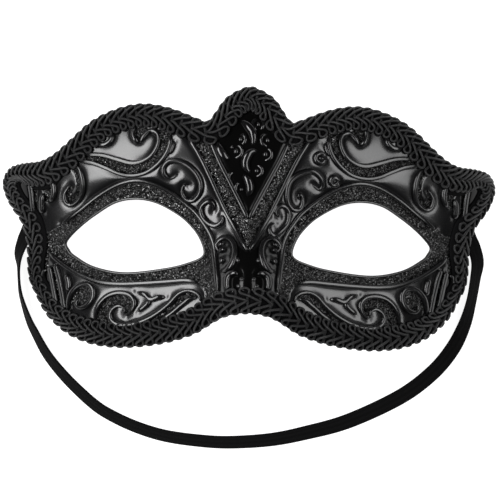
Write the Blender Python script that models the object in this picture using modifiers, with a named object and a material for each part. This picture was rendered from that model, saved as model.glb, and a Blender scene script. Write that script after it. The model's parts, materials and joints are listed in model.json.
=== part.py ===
"""A Venetian half mask: a moulded shell with raised scrollwork, gimp braid round its edge, and a strap.

The mask lies face up on a flat surface, resting on its rim. +X is to the right as seen from the front,
+Y points to the forehead and +Z points out of the face. The origin is below the middle of the mask's
width and height, on the surface. Everything on the face is first drawn flat, in plan, with z as the
distance above the outer skin, and is then bent onto the face form. All lengths are in metres.
"""

import math
from collections import namedtuple

import bmesh
import bpy
import numpy as np
from mathutils import Matrix

# Overall sizes of the mask, over the braid
MASK_WIDTH = 0.1908
MASK_HEIGHT = 0.1012

# Face form: how the front bulges, wraps round the temples and rises over the nose
FACE_WRAP = 0.0270
TEMPLE_ROLL = 0.0151
TEMPLE_ROLL_POWER = 10
TEMPLE_INSET = 0.00595
TEMPLE_HALF_WIDTH = MASK_WIDTH / 2 - TEMPLE_INSET
TEMPLE_FLARE = 0.0087
TEMPLE_MIDDLE = -0.0075
TEMPLE_BLEND = 0.024
FOREHEAD_BEND = 0.0012
FOREHEAD_BEND_SPAN = 0.020
NOSE_RISE = 0.014
NOSE_HALF_WIDTH = 0.0120
NOSE_POWER = 2.3
NOSE_TOP = 0.0068
NOSE_LENGTH = 0.0403
BROW_RISE = 0.003
BROW_HEIGHT = 0.026
BROW_BREADTH = 0.014
EYE_DISH = 0.0035
EYE_DISH_SPREAD = 0.5

# Shell
SHELL_WALL = 0.0015
SHELL_CELL = 0.0048
SHELL_EDGE_INSET = 0.001
EYE_WIDTH = 0.054
EYE_HEIGHT = 0.0289
EYE_ACROSS = 0.0437
EYE_UP = -0.0077

# Raised lines of the relief
RIM_LINE_WIDTH = 0.0017
SCROLL_LINE_WIDTH = 0.0020
CREST_LINE_WIDTH = 0.0022
LINE_SINK = 0.1
LINE_END_SHARE = 0.65
RIM_STEP = 0.0050
SCROLL_STEP = 0.0028

# Braid
BRAID_WIDTH = 0.0102
BRAID_THICKNESS = 0.0024
BRAID_STEP = 0.0037
BRAID_BULGE_SHARE = 0.6
SEAT_GAP = 0.00035

# Strap and the patches that hold its ends inside the temples
STRAP_WIDTH = 0.006
STRAP_THICKNESS = 0.001
STRAP_STEP = 0.0045
TAB_LENGTH = 0.010
TAB_WIDTH = 0.008
TAB_THICKNESS = 0.001
TAB_ROUNDING = 0.0015
TAB_INSET = 0.0116
TAB_ACROSS = MASK_WIDTH / 2 - TAB_INSET
TAB_UP = 0.0053
TAB_TURN = math.radians(25)
TAB_HOLLOW_GAP = 0.0007

# Drawing grid: outline and relief are drawn on it, in units that are shares of the mask's two sizes
GRID_HALF_WIDTH = 248.5
GRID_HEIGHT = 263.5

DrawingPoint = namedtuple("DrawingPoint", "across down")
StrapPoint = namedtuple("StrapPoint", "x y twist")

# Right half of the outer edge, from the crest round to the arch over the nose
OUTLINE = (
    (0, 0), (13, 4.5), (24.5, 12), (33.5, 24), (38, 31), (44, 35.5), (59, 30), (75, 24), (91, 20),
    (106, 18.5), (120, 20), (134, 24), (148, 30), (158, 36), (166, 42), (178.5, 54), (191.5, 66),
    (199.5, 72), (210, 77.5), (225, 79.5), (236, 82), (244, 87), (248.5, 99), (245, 114), (238.5, 126),
    (230, 138), (225.5, 150), (223, 164), (222.5, 182), (220, 198), (214.5, 210), (205, 228),
    (194.5, 240), (178.5, 252), (156, 260.5), (130, 263.5), (104, 262), (80.5, 258), (60.5, 252),
    (47.5, 246), (33, 236), (20, 230), (0, 227.5),
)

# Eye opening on the right, as shares of its width and height from its middle
EYE_SHAPE = (
    (-0.01, 0.50), (0.14, 0.45), (0.28, 0.29), (0.39, 0.13), (0.475, -0.03), (0.50, -0.12),
    (0.48, -0.20), (0.44, -0.28), (0.29, -0.43), (0.06, -0.50), (-0.24, -0.43), (-0.40, -0.345),
    (-0.48, -0.27), (-0.498, -0.18), (-0.47, -0.02), (-0.415, 0.13), (-0.32, 0.29), (-0.16, 0.45),
)

# Long rims, which are alike on both sides
RIM_LINES = {
    "eye_rim_upper": (
        (29.5, 206), (31, 190), (33, 172), (35, 158), (40, 145), (51, 129), (61, 120), (78, 107.5),
        (95, 99.5), (112, 96.5), (130, 100.5), (150, 112), (170, 127.5), (187, 140.5),
    ),
    "eye_rim_lower": (
        (50, 196.5), (62, 195), (80, 196.5), (105, 198.5), (130, 199.5), (150, 197.5), (168, 191),
        (184, 181.5), (200, 169),
    ),
    "brow_rim_lower": (
        (78.5, 50), (79.5, 61), (84, 71.5), (92, 81), (103, 88.5), (116, 91.5), (128, 90), (142, 84.5),
        (156, 79.5), (172, 77),
    ),
    "brow_rim_upper": (
        (109.5, 58), (104, 50.5), (98.5, 46.5), (92.5, 49), (90.5, 56), (93, 65), (99, 73), (108, 78),
        (118, 79), (132, 75.5), (148, 71.5), (168, 71),
    ),
    "crest_band_outer": ((61, 53), (50, 70), (41, 87), (31, 108), (20, 131), (4, 160)),
    "crest_band_inner": ((37, 61), (30, 76), (21, 93), (10, 114), (1.5, 131)),
    "cheek_band_inner": ((193, 181), (190, 190), (187.5, 200), (185, 212), (182.5, 228)),
    "cheek_band_outer": ((199, 183), (197, 191), (195, 201), (193, 211), (190.5, 222)),
    "wing_rib": ((219, 101), (217, 113), (216, 125), (215, 140)),
}

# Scrolls, which are alike on both sides
SCROLL_LINES = {
    "brow_hook": ((114.5, 41), (116.5, 48), (115, 54.5), (110.5, 58)),
    "brow_pod": ((136, 49), (137.5, 55.5), (142, 60), (148, 61), (157, 58.5)),
    "temple_scroll": (
        (71, 90), (78, 94), (84, 90.5), (85.5, 83.5), (80.5, 77.5), (72, 76.5), (62, 80), (53, 88),
        (48, 98), (49, 108), (55.5, 115.5), (62.5, 114), (66.5, 107.5), (65, 101), (60.5, 101),
    ),
    "bridge_scroll": (
        (35, 126), (34.5, 120), (38.5, 116.5), (44, 118), (47.5, 123.5), (46, 131), (40.5, 137.5),
        (34, 140.5), (28, 138), (25.5, 133), (27.5, 129.5),
    ),
    "nose_oval": (
        (29, 166), (32, 160), (27, 153.5), (20, 152), (14.5, 157), (12.5, 166), (14.5, 176),
        (19.5, 183), (26, 186.5),
    ),
    "nose_ring": ((9.5, 188), (14, 187), (19, 190), (20.5, 197), (19, 204.5)),
    "wing_comma": (
        (178, 80), (171, 84), (167, 92), (165.5, 101), (166.5, 110), (171, 117.5), (178, 121.5),
        (183.5, 117.5), (184, 110), (179.5, 102),
    ),
    "wing_hook": ((197.5, 97), (194.5, 105), (195.5, 113), (199.5, 119)),
    "wing_leaf": ((206, 110), (207, 120), (206.5, 131)),
    "cheek_comma": (
        (121, 232), (114.5, 225), (112.5, 217), (118, 210.5), (128, 208.5), (138, 211), (146, 217.5),
        (151, 227), (152.5, 238),
    ),
    "cheek_tail": (
        (122, 229.5), (123.5, 223.5), (129, 221.5), (135, 225.5), (136.5, 233), (130, 239.5),
        (118, 240), (104, 236), (90, 228.5), (78, 219), (68, 209), (58, 205.5), (49.5, 208.5),
        (46.5, 216),
    ),
    "cheek_tail_lower": ((88, 236), (76, 228.5), (66, 220), (58, 214), (51.5, 212)),
    "cheek_sprig": ((82, 212), (89, 212.5), (96.5, 214.5), (103, 209.5), (110.5, 207.5)),
    "cheek_sprig_stem": ((96.5, 214.5), (101, 220.5), (109.5, 227)),
    "cheek_snail": (
        (180, 227), (179, 218), (175.5, 209), (168.5, 202), (160, 200.5), (154.5, 205.5), (154.5, 214),
        (160, 221.5), (167.5, 224), (171.5, 220), (169.5, 216),
    ),
    "cheek_short_line": ((182, 190), (179.5, 196), (178.5, 202), (179.5, 208)),
}

# Filigree inside the crest, which differs from side to side: negative is left of the centre line
CREST_LINES = {
    "crest_plume": ((-9, 35), (-3, 40), (2, 46), (4, 53), (3, 60)),
    "crest_ring_right": ((9, 35), (7, 40), (11, 43), (17, 41)),
    "crest_leaf_right": ((15, 47), (14, 54), (18, 61), (22, 62)),
    "crest_leaf_left": ((-32, 57), (-30, 64), (-25, 71), (-19, 74)),
    "crest_curl_left": ((-11, 64), (-8.5, 69), (-12, 75)),
    "crest_curl_middle": ((8, 65), (1, 67), (-3.5, 74), (-3.5, 81), (1, 88)),
    "crest_curl_right": ((19, 63), (22.5, 69), (18.5, 76)),
    "crest_hook_low": ((-14, 89), (-17.5, 93), (-15, 98)),
    "crest_plume_low": ((-6, 89), (-0.5, 96), (1, 103), (-1.5, 111)),
    "crest_bud_low": ((11, 83), (13, 87), (9, 93)),
}

# Strap on the surface, from where it comes out under the left temple round to the right one; the twist is
# the angle between the strap and the surface, in degrees, with the inner edge raised
STRAP_ROUTE = (
    (-0.0854, -0.0062, 36), (-0.0868, -0.0095, 40), (-0.0885, -0.0146, 56), (-0.0886, -0.0198, 82),
    (-0.0884, -0.0251, 86), (-0.0878, -0.0301, 82), (-0.0865, -0.0347, 77), (-0.0844, -0.0405, 69),
    (-0.0822, -0.0450, 63), (-0.0769, -0.0542, 56), (-0.0692, -0.0633, 51), (-0.0593, -0.0724, 48),
    (-0.0523, -0.0769, 46), (-0.0425, -0.0813, 44), (-0.0317, -0.0845, 42), (-0.0194, -0.0862, 40),
    (-0.0067, -0.0868, 38), (0.0094, -0.0856, 34), (0.0234, -0.0827, 28), (0.0398, -0.0779, 18),
    (0.0595, -0.0684, 8), (0.0718, -0.0590, 5), (0.0794, -0.0497, 16), (0.0839, -0.0404, 36),
    (0.0865, -0.0311, 52), (0.0880, -0.0219, 50), (0.0887, -0.0158, 38), (0.0872, -0.0100, 34),
    (0.0855, -0.0062, 36),
)

# Finish of each material: colour, roughness, metallic
FINISHES = {
    "moulded plastic": ((0.020, 0.020, 0.021), 0.30, 0.0),
    "gimp cord": ((0.012, 0.012, 0.013), 0.65, 0.0),
    "woven elastic": ((0.010, 0.010, 0.011), 0.80, 0.0),
    "felt patch": ((0.015, 0.015, 0.016), 0.95, 0.0),
}


def clear_scene():
    """Remove every object that the file starts with."""
    for item in list(bpy.data.objects):
        bpy.data.objects.remove(item, do_unlink=True)


def make_collection(name):
    """A new collection, linked to the scene."""
    collection = bpy.data.collections.new(name)
    bpy.context.scene.collection.children.link(collection)
    return collection


def make_material(name):
    """A Principled material with the colour, roughness and metallic value of its finish."""
    colour, roughness, metallic = FINISHES[name]
    material = bpy.data.materials.new(name)
    material.use_nodes = True
    shader = material.node_tree.nodes["Principled BSDF"]
    shader.inputs["Base Color"].default_value = (*colour, 1.0)
    shader.inputs["Roughness"].default_value = roughness
    shader.inputs["Metallic"].default_value = metallic
    material.diffuse_color = (*colour, 1.0)
    return material


def place_on_grid(points, side=1):
    """Points of the drawing grid as flat x, y places in metres, mirrored where side is -1."""
    grid = np.array([DrawingPoint(*point) for point in points], dtype=float)
    x = side * grid[:, 0] / GRID_HALF_WIDTH * MASK_WIDTH / 2
    y = MASK_HEIGHT / 2 - grid[:, 1] / GRID_HEIGHT * MASK_HEIGHT
    return np.stack([x, y], axis=1)


def smooth_path(points, closed=False, samples=12):
    """A Catmull-Rom curve through the points, as a dense row of points."""
    points = np.asarray(points, dtype=float)
    if closed:
        padded = np.vstack([points[-1:], points, points[:2]])
    else:
        padded = np.vstack([2 * points[0] - points[1], points, 2 * points[-1] - points[-2]])
    t = np.linspace(0, 1, samples, endpoint=False)[None, :, None]
    before, start, end, after = (padded[i:len(padded) - 3 + i, None, :] for i in range(4))
    curve = 0.5 * (
        2 * start
        + (end - before) * t
        + (2 * before - 5 * start + 4 * end - after) * t ** 2
        + (3 * start - before - 3 * end + after) * t ** 3
    )
    curve = curve.reshape(-1, points.shape[1])
    return curve if closed else np.vstack([curve, points[-1:]])


def even_path(path, step, closed=False):
    """The same path with points about one step apart; columns past the third are carried along."""
    loop = np.vstack([path, path[:1]]) if closed else path
    along = np.concatenate([[0], np.cumsum(np.linalg.norm(np.diff(loop[:, :3], axis=0), axis=1))])
    count = max(2, round(along[-1] / step))
    stops = count if closed else count + 1
    places = np.linspace(0, along[-1], stops, endpoint=not closed)
    return np.stack([np.interp(places, along, column) for column in loop.T], axis=1)


def form_height(x, y):
    """Height of the outer skin over each flat place: wrap, temple roll, brow, eye dishes and nose."""
    half_width = TEMPLE_HALF_WIDTH + TEMPLE_FLARE * np.tanh((y - TEMPLE_MIDDLE) / TEMPLE_BLEND)
    reach = np.abs(x) / half_width
    height = -FACE_WRAP * reach ** 2 - TEMPLE_ROLL * reach ** TEMPLE_ROLL_POWER
    height -= FOREHEAD_BEND * ((y - TEMPLE_MIDDLE) / FOREHEAD_BEND_SPAN) ** 2
    height += BROW_RISE * np.exp(-(((y - BROW_HEIGHT) / BROW_BREADTH) ** 2)) * np.clip(1 - reach ** 2, 0, 1)
    from_eye = np.hypot((np.abs(x) - EYE_ACROSS) / (EYE_WIDTH / 2), (y - EYE_UP) / (EYE_HEIGHT / 2))
    height -= EYE_DISH * np.exp(-((np.maximum(from_eye - 1, 0) / EYE_DISH_SPREAD) ** 2))
    down_nose = np.clip((NOSE_TOP - y) / NOSE_LENGTH, 0, 1)
    rise = NOSE_RISE * down_nose ** 2 * (3 - 2 * down_nose)
    return height + rise * np.exp(-((np.abs(x) / NOSE_HALF_WIDTH) ** NOSE_POWER))


def form_slopes(x, y, reach=1e-5):
    """How fast the outer skin rises along x and along y."""
    along_x = (form_height(x + reach, y) - form_height(x - reach, y)) / (2 * reach)
    along_y = (form_height(x, y + reach) - form_height(x, y - reach)) / (2 * reach)
    return along_x, along_y


def form_normals(x, y):
    """Unit vectors that point straight out of the skin."""
    along_x, along_y = form_slopes(x, y)
    normals = np.stack([-along_x, -along_y, np.ones_like(along_x)], axis=-1)
    return normals / np.linalg.norm(normals, axis=-1, keepdims=True)


def bend(points):
    """Flat points, with z above the skin, carried to their places on the face form."""
    x, y, above = points.T
    skin = np.stack([x, y, form_height(x, y)], axis=1)
    return skin + form_normals(x, y) * above[:, None]


def bend_mesh(item):
    """Bend every vertex of a flat object onto the face form."""
    mesh = item.data
    flat = np.empty(len(mesh.vertices) * 3)
    mesh.vertices.foreach_get("co", flat)
    mesh.vertices.foreach_set("co", bend(flat.reshape(-1, 3)).ravel())
    mesh.update()


def inward_normals(loop, spread=3):
    """Unit vectors that point into a clockwise loop, averaged over neighbours so that corners fan out."""
    along = sum(np.roll(loop, -k, axis=0) - np.roll(loop, k, axis=0) for k in range(1, spread + 1))
    along /= np.linalg.norm(along, axis=1, keepdims=True)
    return np.stack([along[:, 1], -along[:, 0]], axis=1)


def inset(loop, distance, steps=8):
    """A clockwise loop moved inwards by a distance that is measured over the face form."""
    normals = inward_normals(loop)
    moved = loop.copy()
    for _ in range(steps):
        along_x, along_y = form_slopes(moved[:, 0], moved[:, 1])
        slope = along_x * normals[:, 0] + along_y * normals[:, 1]
        moved = moved + normals * (distance / steps / np.sqrt(1 + slope ** 2))[:, None]
    return moved


def edge_on_skin():
    """The clockwise line on the skin that carries the braid's outer edge, which starts at the crest.

    The outline is drawn as it shows from the front. The braid bulges out past its line on the skin
    where the skin is steep, so the line lies that much further in.
    """
    right = place_on_grid(OUTLINE)
    left = place_on_grid(OUTLINE[-2:0:-1], side=-1)
    seen = even_path(smooth_path(np.vstack([right, left]), closed=True), BRAID_STEP, closed=True)
    return seen - form_normals(*seen.T)[:, :2] * (BRAID_BULGE_SHARE * BRAID_THICKNESS)


def eye_loop(side):
    """The edge of one eye opening."""
    shape = np.array(EYE_SHAPE) * (EYE_WIDTH, EYE_HEIGHT) + (EYE_ACROSS, EYE_UP)
    return even_path(smooth_path(shape * (side, 1), closed=True), SHELL_CELL, closed=True)


def is_inside(points, loop):
    """Whether each flat point lies inside a closed loop, by counting the edges to its right."""
    x, y = points[:, 0, None], points[:, 1, None]
    ax, ay = loop.T
    bx, by = np.roll(loop, -1, axis=0).T
    crosses = (ay > y) != (by > y)
    rise = np.where(by == ay, 1.0, by - ay)
    right_of = x < ax + (y - ay) / rise * (bx - ax)
    return (crosses & right_of).sum(axis=1) % 2 == 1


def longest_run_inside(path, fence):
    """The longest stretch of a path that lies inside a loop."""
    runs = np.split(path, np.flatnonzero(np.diff(is_inside(path, fence).astype(int))) + 1)
    inner = [run for run in runs if is_inside(run[:1], fence)[0]]
    return max(inner, key=len) if inner else path[:0]


def mesh_from_curve(curve_object, collection):
    """Replace a curve object by a mesh object of the same name, with its caps welded on."""
    evaluated = curve_object.evaluated_get(bpy.context.evaluated_depsgraph_get())
    mesh = bpy.data.meshes.new_from_object(evaluated)
    work = bmesh.new()
    work.from_mesh(mesh)
    bmesh.ops.remove_doubles(work, verts=work.verts, dist=1e-6)
    bmesh.ops.recalc_face_normals(work, faces=work.faces)
    work.to_mesh(mesh)
    work.free()
    name = curve_object.name
    bpy.data.objects.remove(curve_object, do_unlink=True)
    made = bpy.data.objects.new(name, mesh)
    collection.objects.link(made)
    return made


def make_prism(name, loop, low, high, collection):
    """A straight-walled solid over a flat loop, between two heights."""
    curve = bpy.data.curves.new(name, "CURVE")
    curve.dimensions = "2D"
    curve.fill_mode = "BOTH"
    curve.extrude = (high - low) / 2
    spline = curve.splines.new("POLY")
    spline.points.add(len(loop) - 1)
    flat = np.column_stack([loop, np.zeros(len(loop)), np.ones(len(loop))])
    spline.points.foreach_set("co", flat.ravel())
    spline.use_cyclic_u = True
    made = bpy.data.objects.new(name, curve)
    collection.objects.link(made)
    bpy.context.view_layer.update()
    made = mesh_from_curve(made, collection)
    made.data.transform(Matrix.Translation((0, 0, (high + low) / 2)))
    return made


def make_bead(name, path, width, collection):
    """A half-sunk four-sided bead along a flat path, thinner towards its ends."""
    curve = bpy.data.curves.new(name, "CURVE")
    curve.dimensions = "3D"
    curve.bevel_depth = width / 2
    curve.bevel_resolution = 0
    curve.use_fill_caps = True
    spline = curve.splines.new("POLY")
    spline.points.add(len(path) - 1)
    rows = np.column_stack([path, np.full(len(path), -LINE_SINK * width), np.ones(len(path))])
    spline.points.foreach_set("co", rows.ravel())
    swell = np.sin(math.pi * np.linspace(0, 1, len(path)))
    spline.points.foreach_set("radius", LINE_END_SHARE + (1 - LINE_END_SHARE) * swell)
    made = bpy.data.objects.new(name, curve)
    collection.objects.link(made)
    bpy.context.view_layer.update()
    return mesh_from_curve(made, collection)


def relief_lines():
    """Every raised line as a name, a flat path, its width and the step between its sections."""
    for name, points in RIM_LINES.items():
        for side in (1, -1):
            yield f"{name}_{side}", place_on_grid(points, side), RIM_LINE_WIDTH, RIM_STEP
    for name, points in SCROLL_LINES.items():
        for side in (1, -1):
            yield f"{name}_{side}", place_on_grid(points, side), SCROLL_LINE_WIDTH, SCROLL_STEP
    for name, points in CREST_LINES.items():
        yield name, place_on_grid(points), CREST_LINE_WIDTH, SCROLL_STEP


def make_relief(fence, collection):
    """The raised lines, kept inside the fence that the braid's inner edge sets."""
    for name, points, width, step in relief_lines():
        run = longest_run_inside(smooth_path(points), fence)
        if len(run) > 2:
            make_bead(name, even_path(run, step), width, collection)


def make_blank(name, collection):
    """A flat sheet as wide as the mask, with its wall, whose cells come out even once bent over the nose."""
    section_x = np.linspace(-MASK_WIDTH / 2, MASK_WIDTH / 2, 400)
    section_y = np.full_like(section_x, NOSE_TOP - NOSE_LENGTH / 2)
    section = np.column_stack([section_x, form_height(section_x, section_y)])
    columns = even_path(section, SHELL_CELL)[:, 0]
    rows = np.linspace(-MASK_HEIGHT / 2, MASK_HEIGHT / 2, round(MASK_HEIGHT / SHELL_CELL) + 1)
    work = bmesh.new()
    bmesh.ops.create_grid(work, x_segments=len(columns) - 1, y_segments=len(rows) - 1, size=0.5)
    for vertex in work.verts:
        vertex.co.x = columns[round((vertex.co.x + 0.5) * (len(columns) - 1))]
        vertex.co.y = rows[round((vertex.co.y + 0.5) * (len(rows) - 1))]
    mesh = bpy.data.meshes.new(name)
    work.to_mesh(mesh)
    work.free()
    blank = bpy.data.objects.new(name, mesh)
    collection.objects.link(blank)
    wall = blank.modifiers.new("wall", "SOLIDIFY")
    wall.thickness = SHELL_WALL
    wall.offset = -1
    return blank


def add_boolean(item, operation, cutter):
    """Cut or join an object with another one; the exact solver leaves open edges where beads cross."""
    change = item.modifiers.new(operation.lower(), "BOOLEAN")
    change.operation = operation
    change.solver = "MANIFOLD"
    change.object = cutter


def apply_modifiers(item):
    """Put the evaluated mesh of an object in place of its own, and drop its modifiers."""
    bpy.context.view_layer.update()
    evaluated = item.evaluated_get(bpy.context.evaluated_depsgraph_get())
    mesh = bpy.data.meshes.new_from_object(evaluated)
    item.modifiers.clear()
    item.data = mesh


def make_shell(outline, parts, cutters, relief):
    """The moulded shell: cut out flat with its eyes, joined with its relief, then bent onto the form."""
    shell = make_blank("mask_shell", parts)
    edge = inset(outline, SHELL_EDGE_INSET)
    deep = 4 * SHELL_WALL
    add_boolean(shell, "INTERSECT", make_prism("edge_cutter", edge, -deep, deep, cutters))
    for side, name in ((1, "eye_cutter_right"), (-1, "eye_cutter_left")):
        add_boolean(shell, "DIFFERENCE", make_prism(name, eye_loop(side), -deep, deep, cutters))
    make_relief(inset(outline, BRAID_WIDTH + SCROLL_LINE_WIDTH), relief)
    for bead in relief.objects:
        add_boolean(shell, "UNION", bead)
    apply_modifiers(shell)
    bend_mesh(shell)
    return shell


def loft(name, sections, collection, closed=False):
    """A solid through sections of equal size, either capped at its ends or closed into a ring."""
    count, sides, _ = sections.shape
    work = bmesh.new()
    rings = [[work.verts.new(point) for point in section] for section in sections]
    pairs = list(zip(rings, rings[1:]))
    if closed:
        pairs.append((rings[-1], rings[0]))
    else:
        work.faces.new(rings[0])
        work.faces.new(rings[-1][::-1])
    for first, second in pairs:
        for side in range(sides):
            after = (side + 1) % sides
            work.faces.new((first[side], second[side], second[after], first[after]))
    bmesh.ops.recalc_face_normals(work, faces=work.faces)
    mesh = bpy.data.meshes.new(name)
    work.to_mesh(mesh)
    work.free()
    made = bpy.data.objects.new(name, mesh)
    collection.objects.link(made)
    return made


def make_braid(outline, collection):
    """The gimp braid: a low crowned band that follows the edge, just clear of the shell."""
    profile = (
        (0.35, 0.0), (0.02, 0.0), (0.0, BRAID_BULGE_SHARE), (0.25, 1.0), (0.75, 1.0),
        (1.0, BRAID_BULGE_SHARE), (0.98, 0.0), (0.68, 0.0),
    )
    rows = []
    for across, up in profile:
        place = inset(outline, across * BRAID_WIDTH)
        height = SEAT_GAP + up * (BRAID_THICKNESS - SEAT_GAP)
        rows.append(bend(np.column_stack([place, np.full(len(place), height)])))
    return loft("braid_trim", np.stack(rows, axis=1), collection, closed=True)


def tab_frame(side, rest_height):
    """The middle of a tab, the way the strap runs over it, across it, and out of the skin there."""
    x = np.array([side * TAB_ACROSS])
    y = np.array([TAB_UP])
    outward = form_normals(x, y)[0]
    downhill = np.array([outward[2] * side, 0, -abs(outward[0])])
    downhill /= np.linalg.norm(downhill)
    down_face = np.cross(outward, downhill) * -side
    along = math.sin(TAB_TURN) * downhill + math.cos(TAB_TURN) * down_face * np.sign(-down_face[1])
    across = np.cross(outward, along)
    depth = SHELL_WALL + TAB_HOLLOW_GAP + TAB_THICKNESS / 2
    middle = np.array([x[0], TAB_UP, form_height(x, y)[0] + rest_height]) - outward * depth
    return middle, along, across, outward


def make_tab(name, side, rest_height, collection):
    """A flat patch with rounded corners on the inside of the temple, where the strap's end is held."""
    middle, along, across, outward = tab_frame(side, rest_height)
    bpy.ops.mesh.primitive_cube_add(size=1)
    tab = bpy.context.object
    for owner in list(tab.users_collection):
        owner.objects.unlink(tab)
    collection.objects.link(tab)
    tab.name = name
    tab.data.name = name
    tab.data.transform(Matrix.Diagonal((TAB_LENGTH, TAB_WIDTH, TAB_THICKNESS, 1)))
    work = bmesh.new()
    work.from_mesh(tab.data)
    half = TAB_THICKNESS / 2
    upright = [edge for edge in work.edges if abs(edge.verts[0].co.z - edge.verts[1].co.z) > half]
    bmesh.ops.bevel(work, geom=upright, offset=TAB_ROUNDING, segments=3, affect="EDGES")
    work.to_mesh(tab.data)
    work.free()
    turn = Matrix((along, np.cross(outward, along), outward)).transposed().to_4x4()
    tab.matrix_world = Matrix.Translation(middle) @ turn
    return tab


def strap_stations(rest_height):
    """The strap's middle line and the way its width points, tab to tab."""
    places = []
    widths = []
    for side in (-1, 1):
        middle, along, across, outward = tab_frame(side, rest_height)
        seat = middle - outward * (TAB_THICKNESS / 2 + SEAT_GAP + STRAP_THICKNESS / 2)
        inner_edge_up = across * np.sign(across[2])
        held = [seat + along * share * TAB_LENGTH for share in (-0.35, 0.0, 0.35)]
        places.append(held)
        widths.append([inner_edge_up] * len(held))
    route = [StrapPoint(*row) for row in STRAP_ROUTE]
    flat = np.array([(point.x, point.y) for point in route])
    heading = np.gradient(flat, axis=0)
    heading /= np.linalg.norm(heading, axis=1, keepdims=True)
    twist = np.radians([point.twist for point in route])
    inward = np.column_stack([-heading[:, 1], heading[:, 0]])
    lying_width = np.column_stack([inward * np.cos(twist)[:, None], np.sin(twist)])
    lift = STRAP_WIDTH / 2 * np.sin(twist) + STRAP_THICKNESS / 2 * np.cos(twist)
    lying = np.column_stack([flat, lift])
    middle_line = np.vstack([places[0], lying, places[1][::-1]])
    width_line = np.vstack([widths[0], lying_width, widths[1][::-1]])
    return middle_line, width_line


def make_strap(rest_height, collection):
    """The flat elastic: a thin band that leaves one tab, lies on the surface and ends on the other tab."""
    middle_line, width_line = strap_stations(rest_height)
    path = even_path(np.hstack([smooth_path(middle_line), smooth_path(width_line)]), STRAP_STEP)
    middle = path[:, :3]
    heading = np.gradient(middle, axis=0)
    heading /= np.linalg.norm(heading, axis=1, keepdims=True)
    width = path[:, 3:] - heading * (path[:, 3:] * heading).sum(axis=1, keepdims=True)
    width /= np.linalg.norm(width, axis=1, keepdims=True)
    face = np.cross(heading, width)
    corners = ((-0.5, -0.5), (0.5, -0.5), (0.5, 0.5), (-0.5, 0.5))
    rows = [middle + width * (a * STRAP_WIDTH) + face * (b * STRAP_THICKNESS) for a, b in corners]
    sections = np.stack(rows, axis=1)
    sections[:, :, 2] = np.maximum(sections[:, :, 2], 0)
    return loft("strap", sections, collection)


def lowest_point(items):
    """The lowest height that any of the objects reaches."""
    return min(vertex.co.z for item in items for vertex in item.data.vertices)


def main():
    """Build the mask, set it down on its rim, and add the strap with its two tabs."""
    clear_scene()
    parts = make_collection("venetian_eye_mask")
    cutters = make_collection("cutters")
    relief = make_collection("relief")
    outline = edge_on_skin()
    shell = make_shell(outline, parts, cutters, relief)
    braid = make_braid(outline, parts)
    rest_height = -lowest_point((shell, braid))
    for item in (shell, braid):
        item.data.transform(Matrix.Translation((0, 0, rest_height)))
    tabs = [
        make_tab(name, side, rest_height, parts)
        for name, side in (("strap_tab_left", -1), ("strap_tab_right", 1))
    ]
    strap = make_strap(rest_height, parts)
    for item in (*cutters.objects, *relief.objects):
        item.hide_render = True
        item.display_type = "WIRE"
    finishes = ((shell, "moulded plastic"), (braid, "gimp cord"), (strap, "woven elastic"))
    for item, finish in (*finishes, *((tab, "felt patch") for tab in tabs)):
        item.data.materials.clear()
        item.data.materials.append(make_material(finish))
        item.data.shade_smooth()
        item.data.set_sharp_from_angle(angle=math.radians(35))


main()
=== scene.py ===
"""The looks of a Venetian half mask: gloss plastic, raised scrolls, glitter, gimp braid and elastic.

The mask lies face up on a pale surface, resting on its rim. +X is to the right as seen from the front,
+Y points to the forehead and +Z points out of the face. Everything on the face is first drawn flat, with z
as the distance above the outer skin, and is then bent onto the face form. All lengths are in metres.
"""

from __future__ import annotations

import json
import logging
import math
from collections.abc import Iterator
from dataclasses import dataclass, field
from enum import Enum

import bmesh
import bpy
import numpy as np
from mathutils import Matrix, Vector

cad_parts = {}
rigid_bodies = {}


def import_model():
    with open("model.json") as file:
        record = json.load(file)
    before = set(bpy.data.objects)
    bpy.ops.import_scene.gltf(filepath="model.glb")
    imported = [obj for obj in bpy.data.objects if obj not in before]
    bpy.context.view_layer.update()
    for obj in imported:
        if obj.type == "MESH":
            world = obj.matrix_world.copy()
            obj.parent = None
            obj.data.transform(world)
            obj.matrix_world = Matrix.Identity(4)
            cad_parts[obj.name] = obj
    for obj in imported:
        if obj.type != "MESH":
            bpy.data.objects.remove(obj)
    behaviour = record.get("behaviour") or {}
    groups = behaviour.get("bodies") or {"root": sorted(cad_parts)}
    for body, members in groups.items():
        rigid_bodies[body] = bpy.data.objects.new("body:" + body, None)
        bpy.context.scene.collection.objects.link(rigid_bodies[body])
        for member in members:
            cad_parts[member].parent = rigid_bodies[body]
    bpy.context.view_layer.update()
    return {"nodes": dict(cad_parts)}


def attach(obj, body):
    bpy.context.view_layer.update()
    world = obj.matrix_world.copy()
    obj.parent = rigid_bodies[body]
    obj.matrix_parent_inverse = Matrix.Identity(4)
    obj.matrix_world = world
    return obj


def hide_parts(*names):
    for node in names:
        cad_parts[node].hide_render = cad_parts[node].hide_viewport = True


LOG = logging.getLogger("venetian_eye_mask")
TINY = 1e-12

Array = np.ndarray
Line = tuple[tuple[float, ...], ...]
Colour = tuple[float, float, float, float]

# Sides that a drawn line is on: 1 as it stands and -1 mirrored
BOTH_SIDES, AS_DRAWN, MIRRORED = (1, -1), (1,), (-1,)

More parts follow.
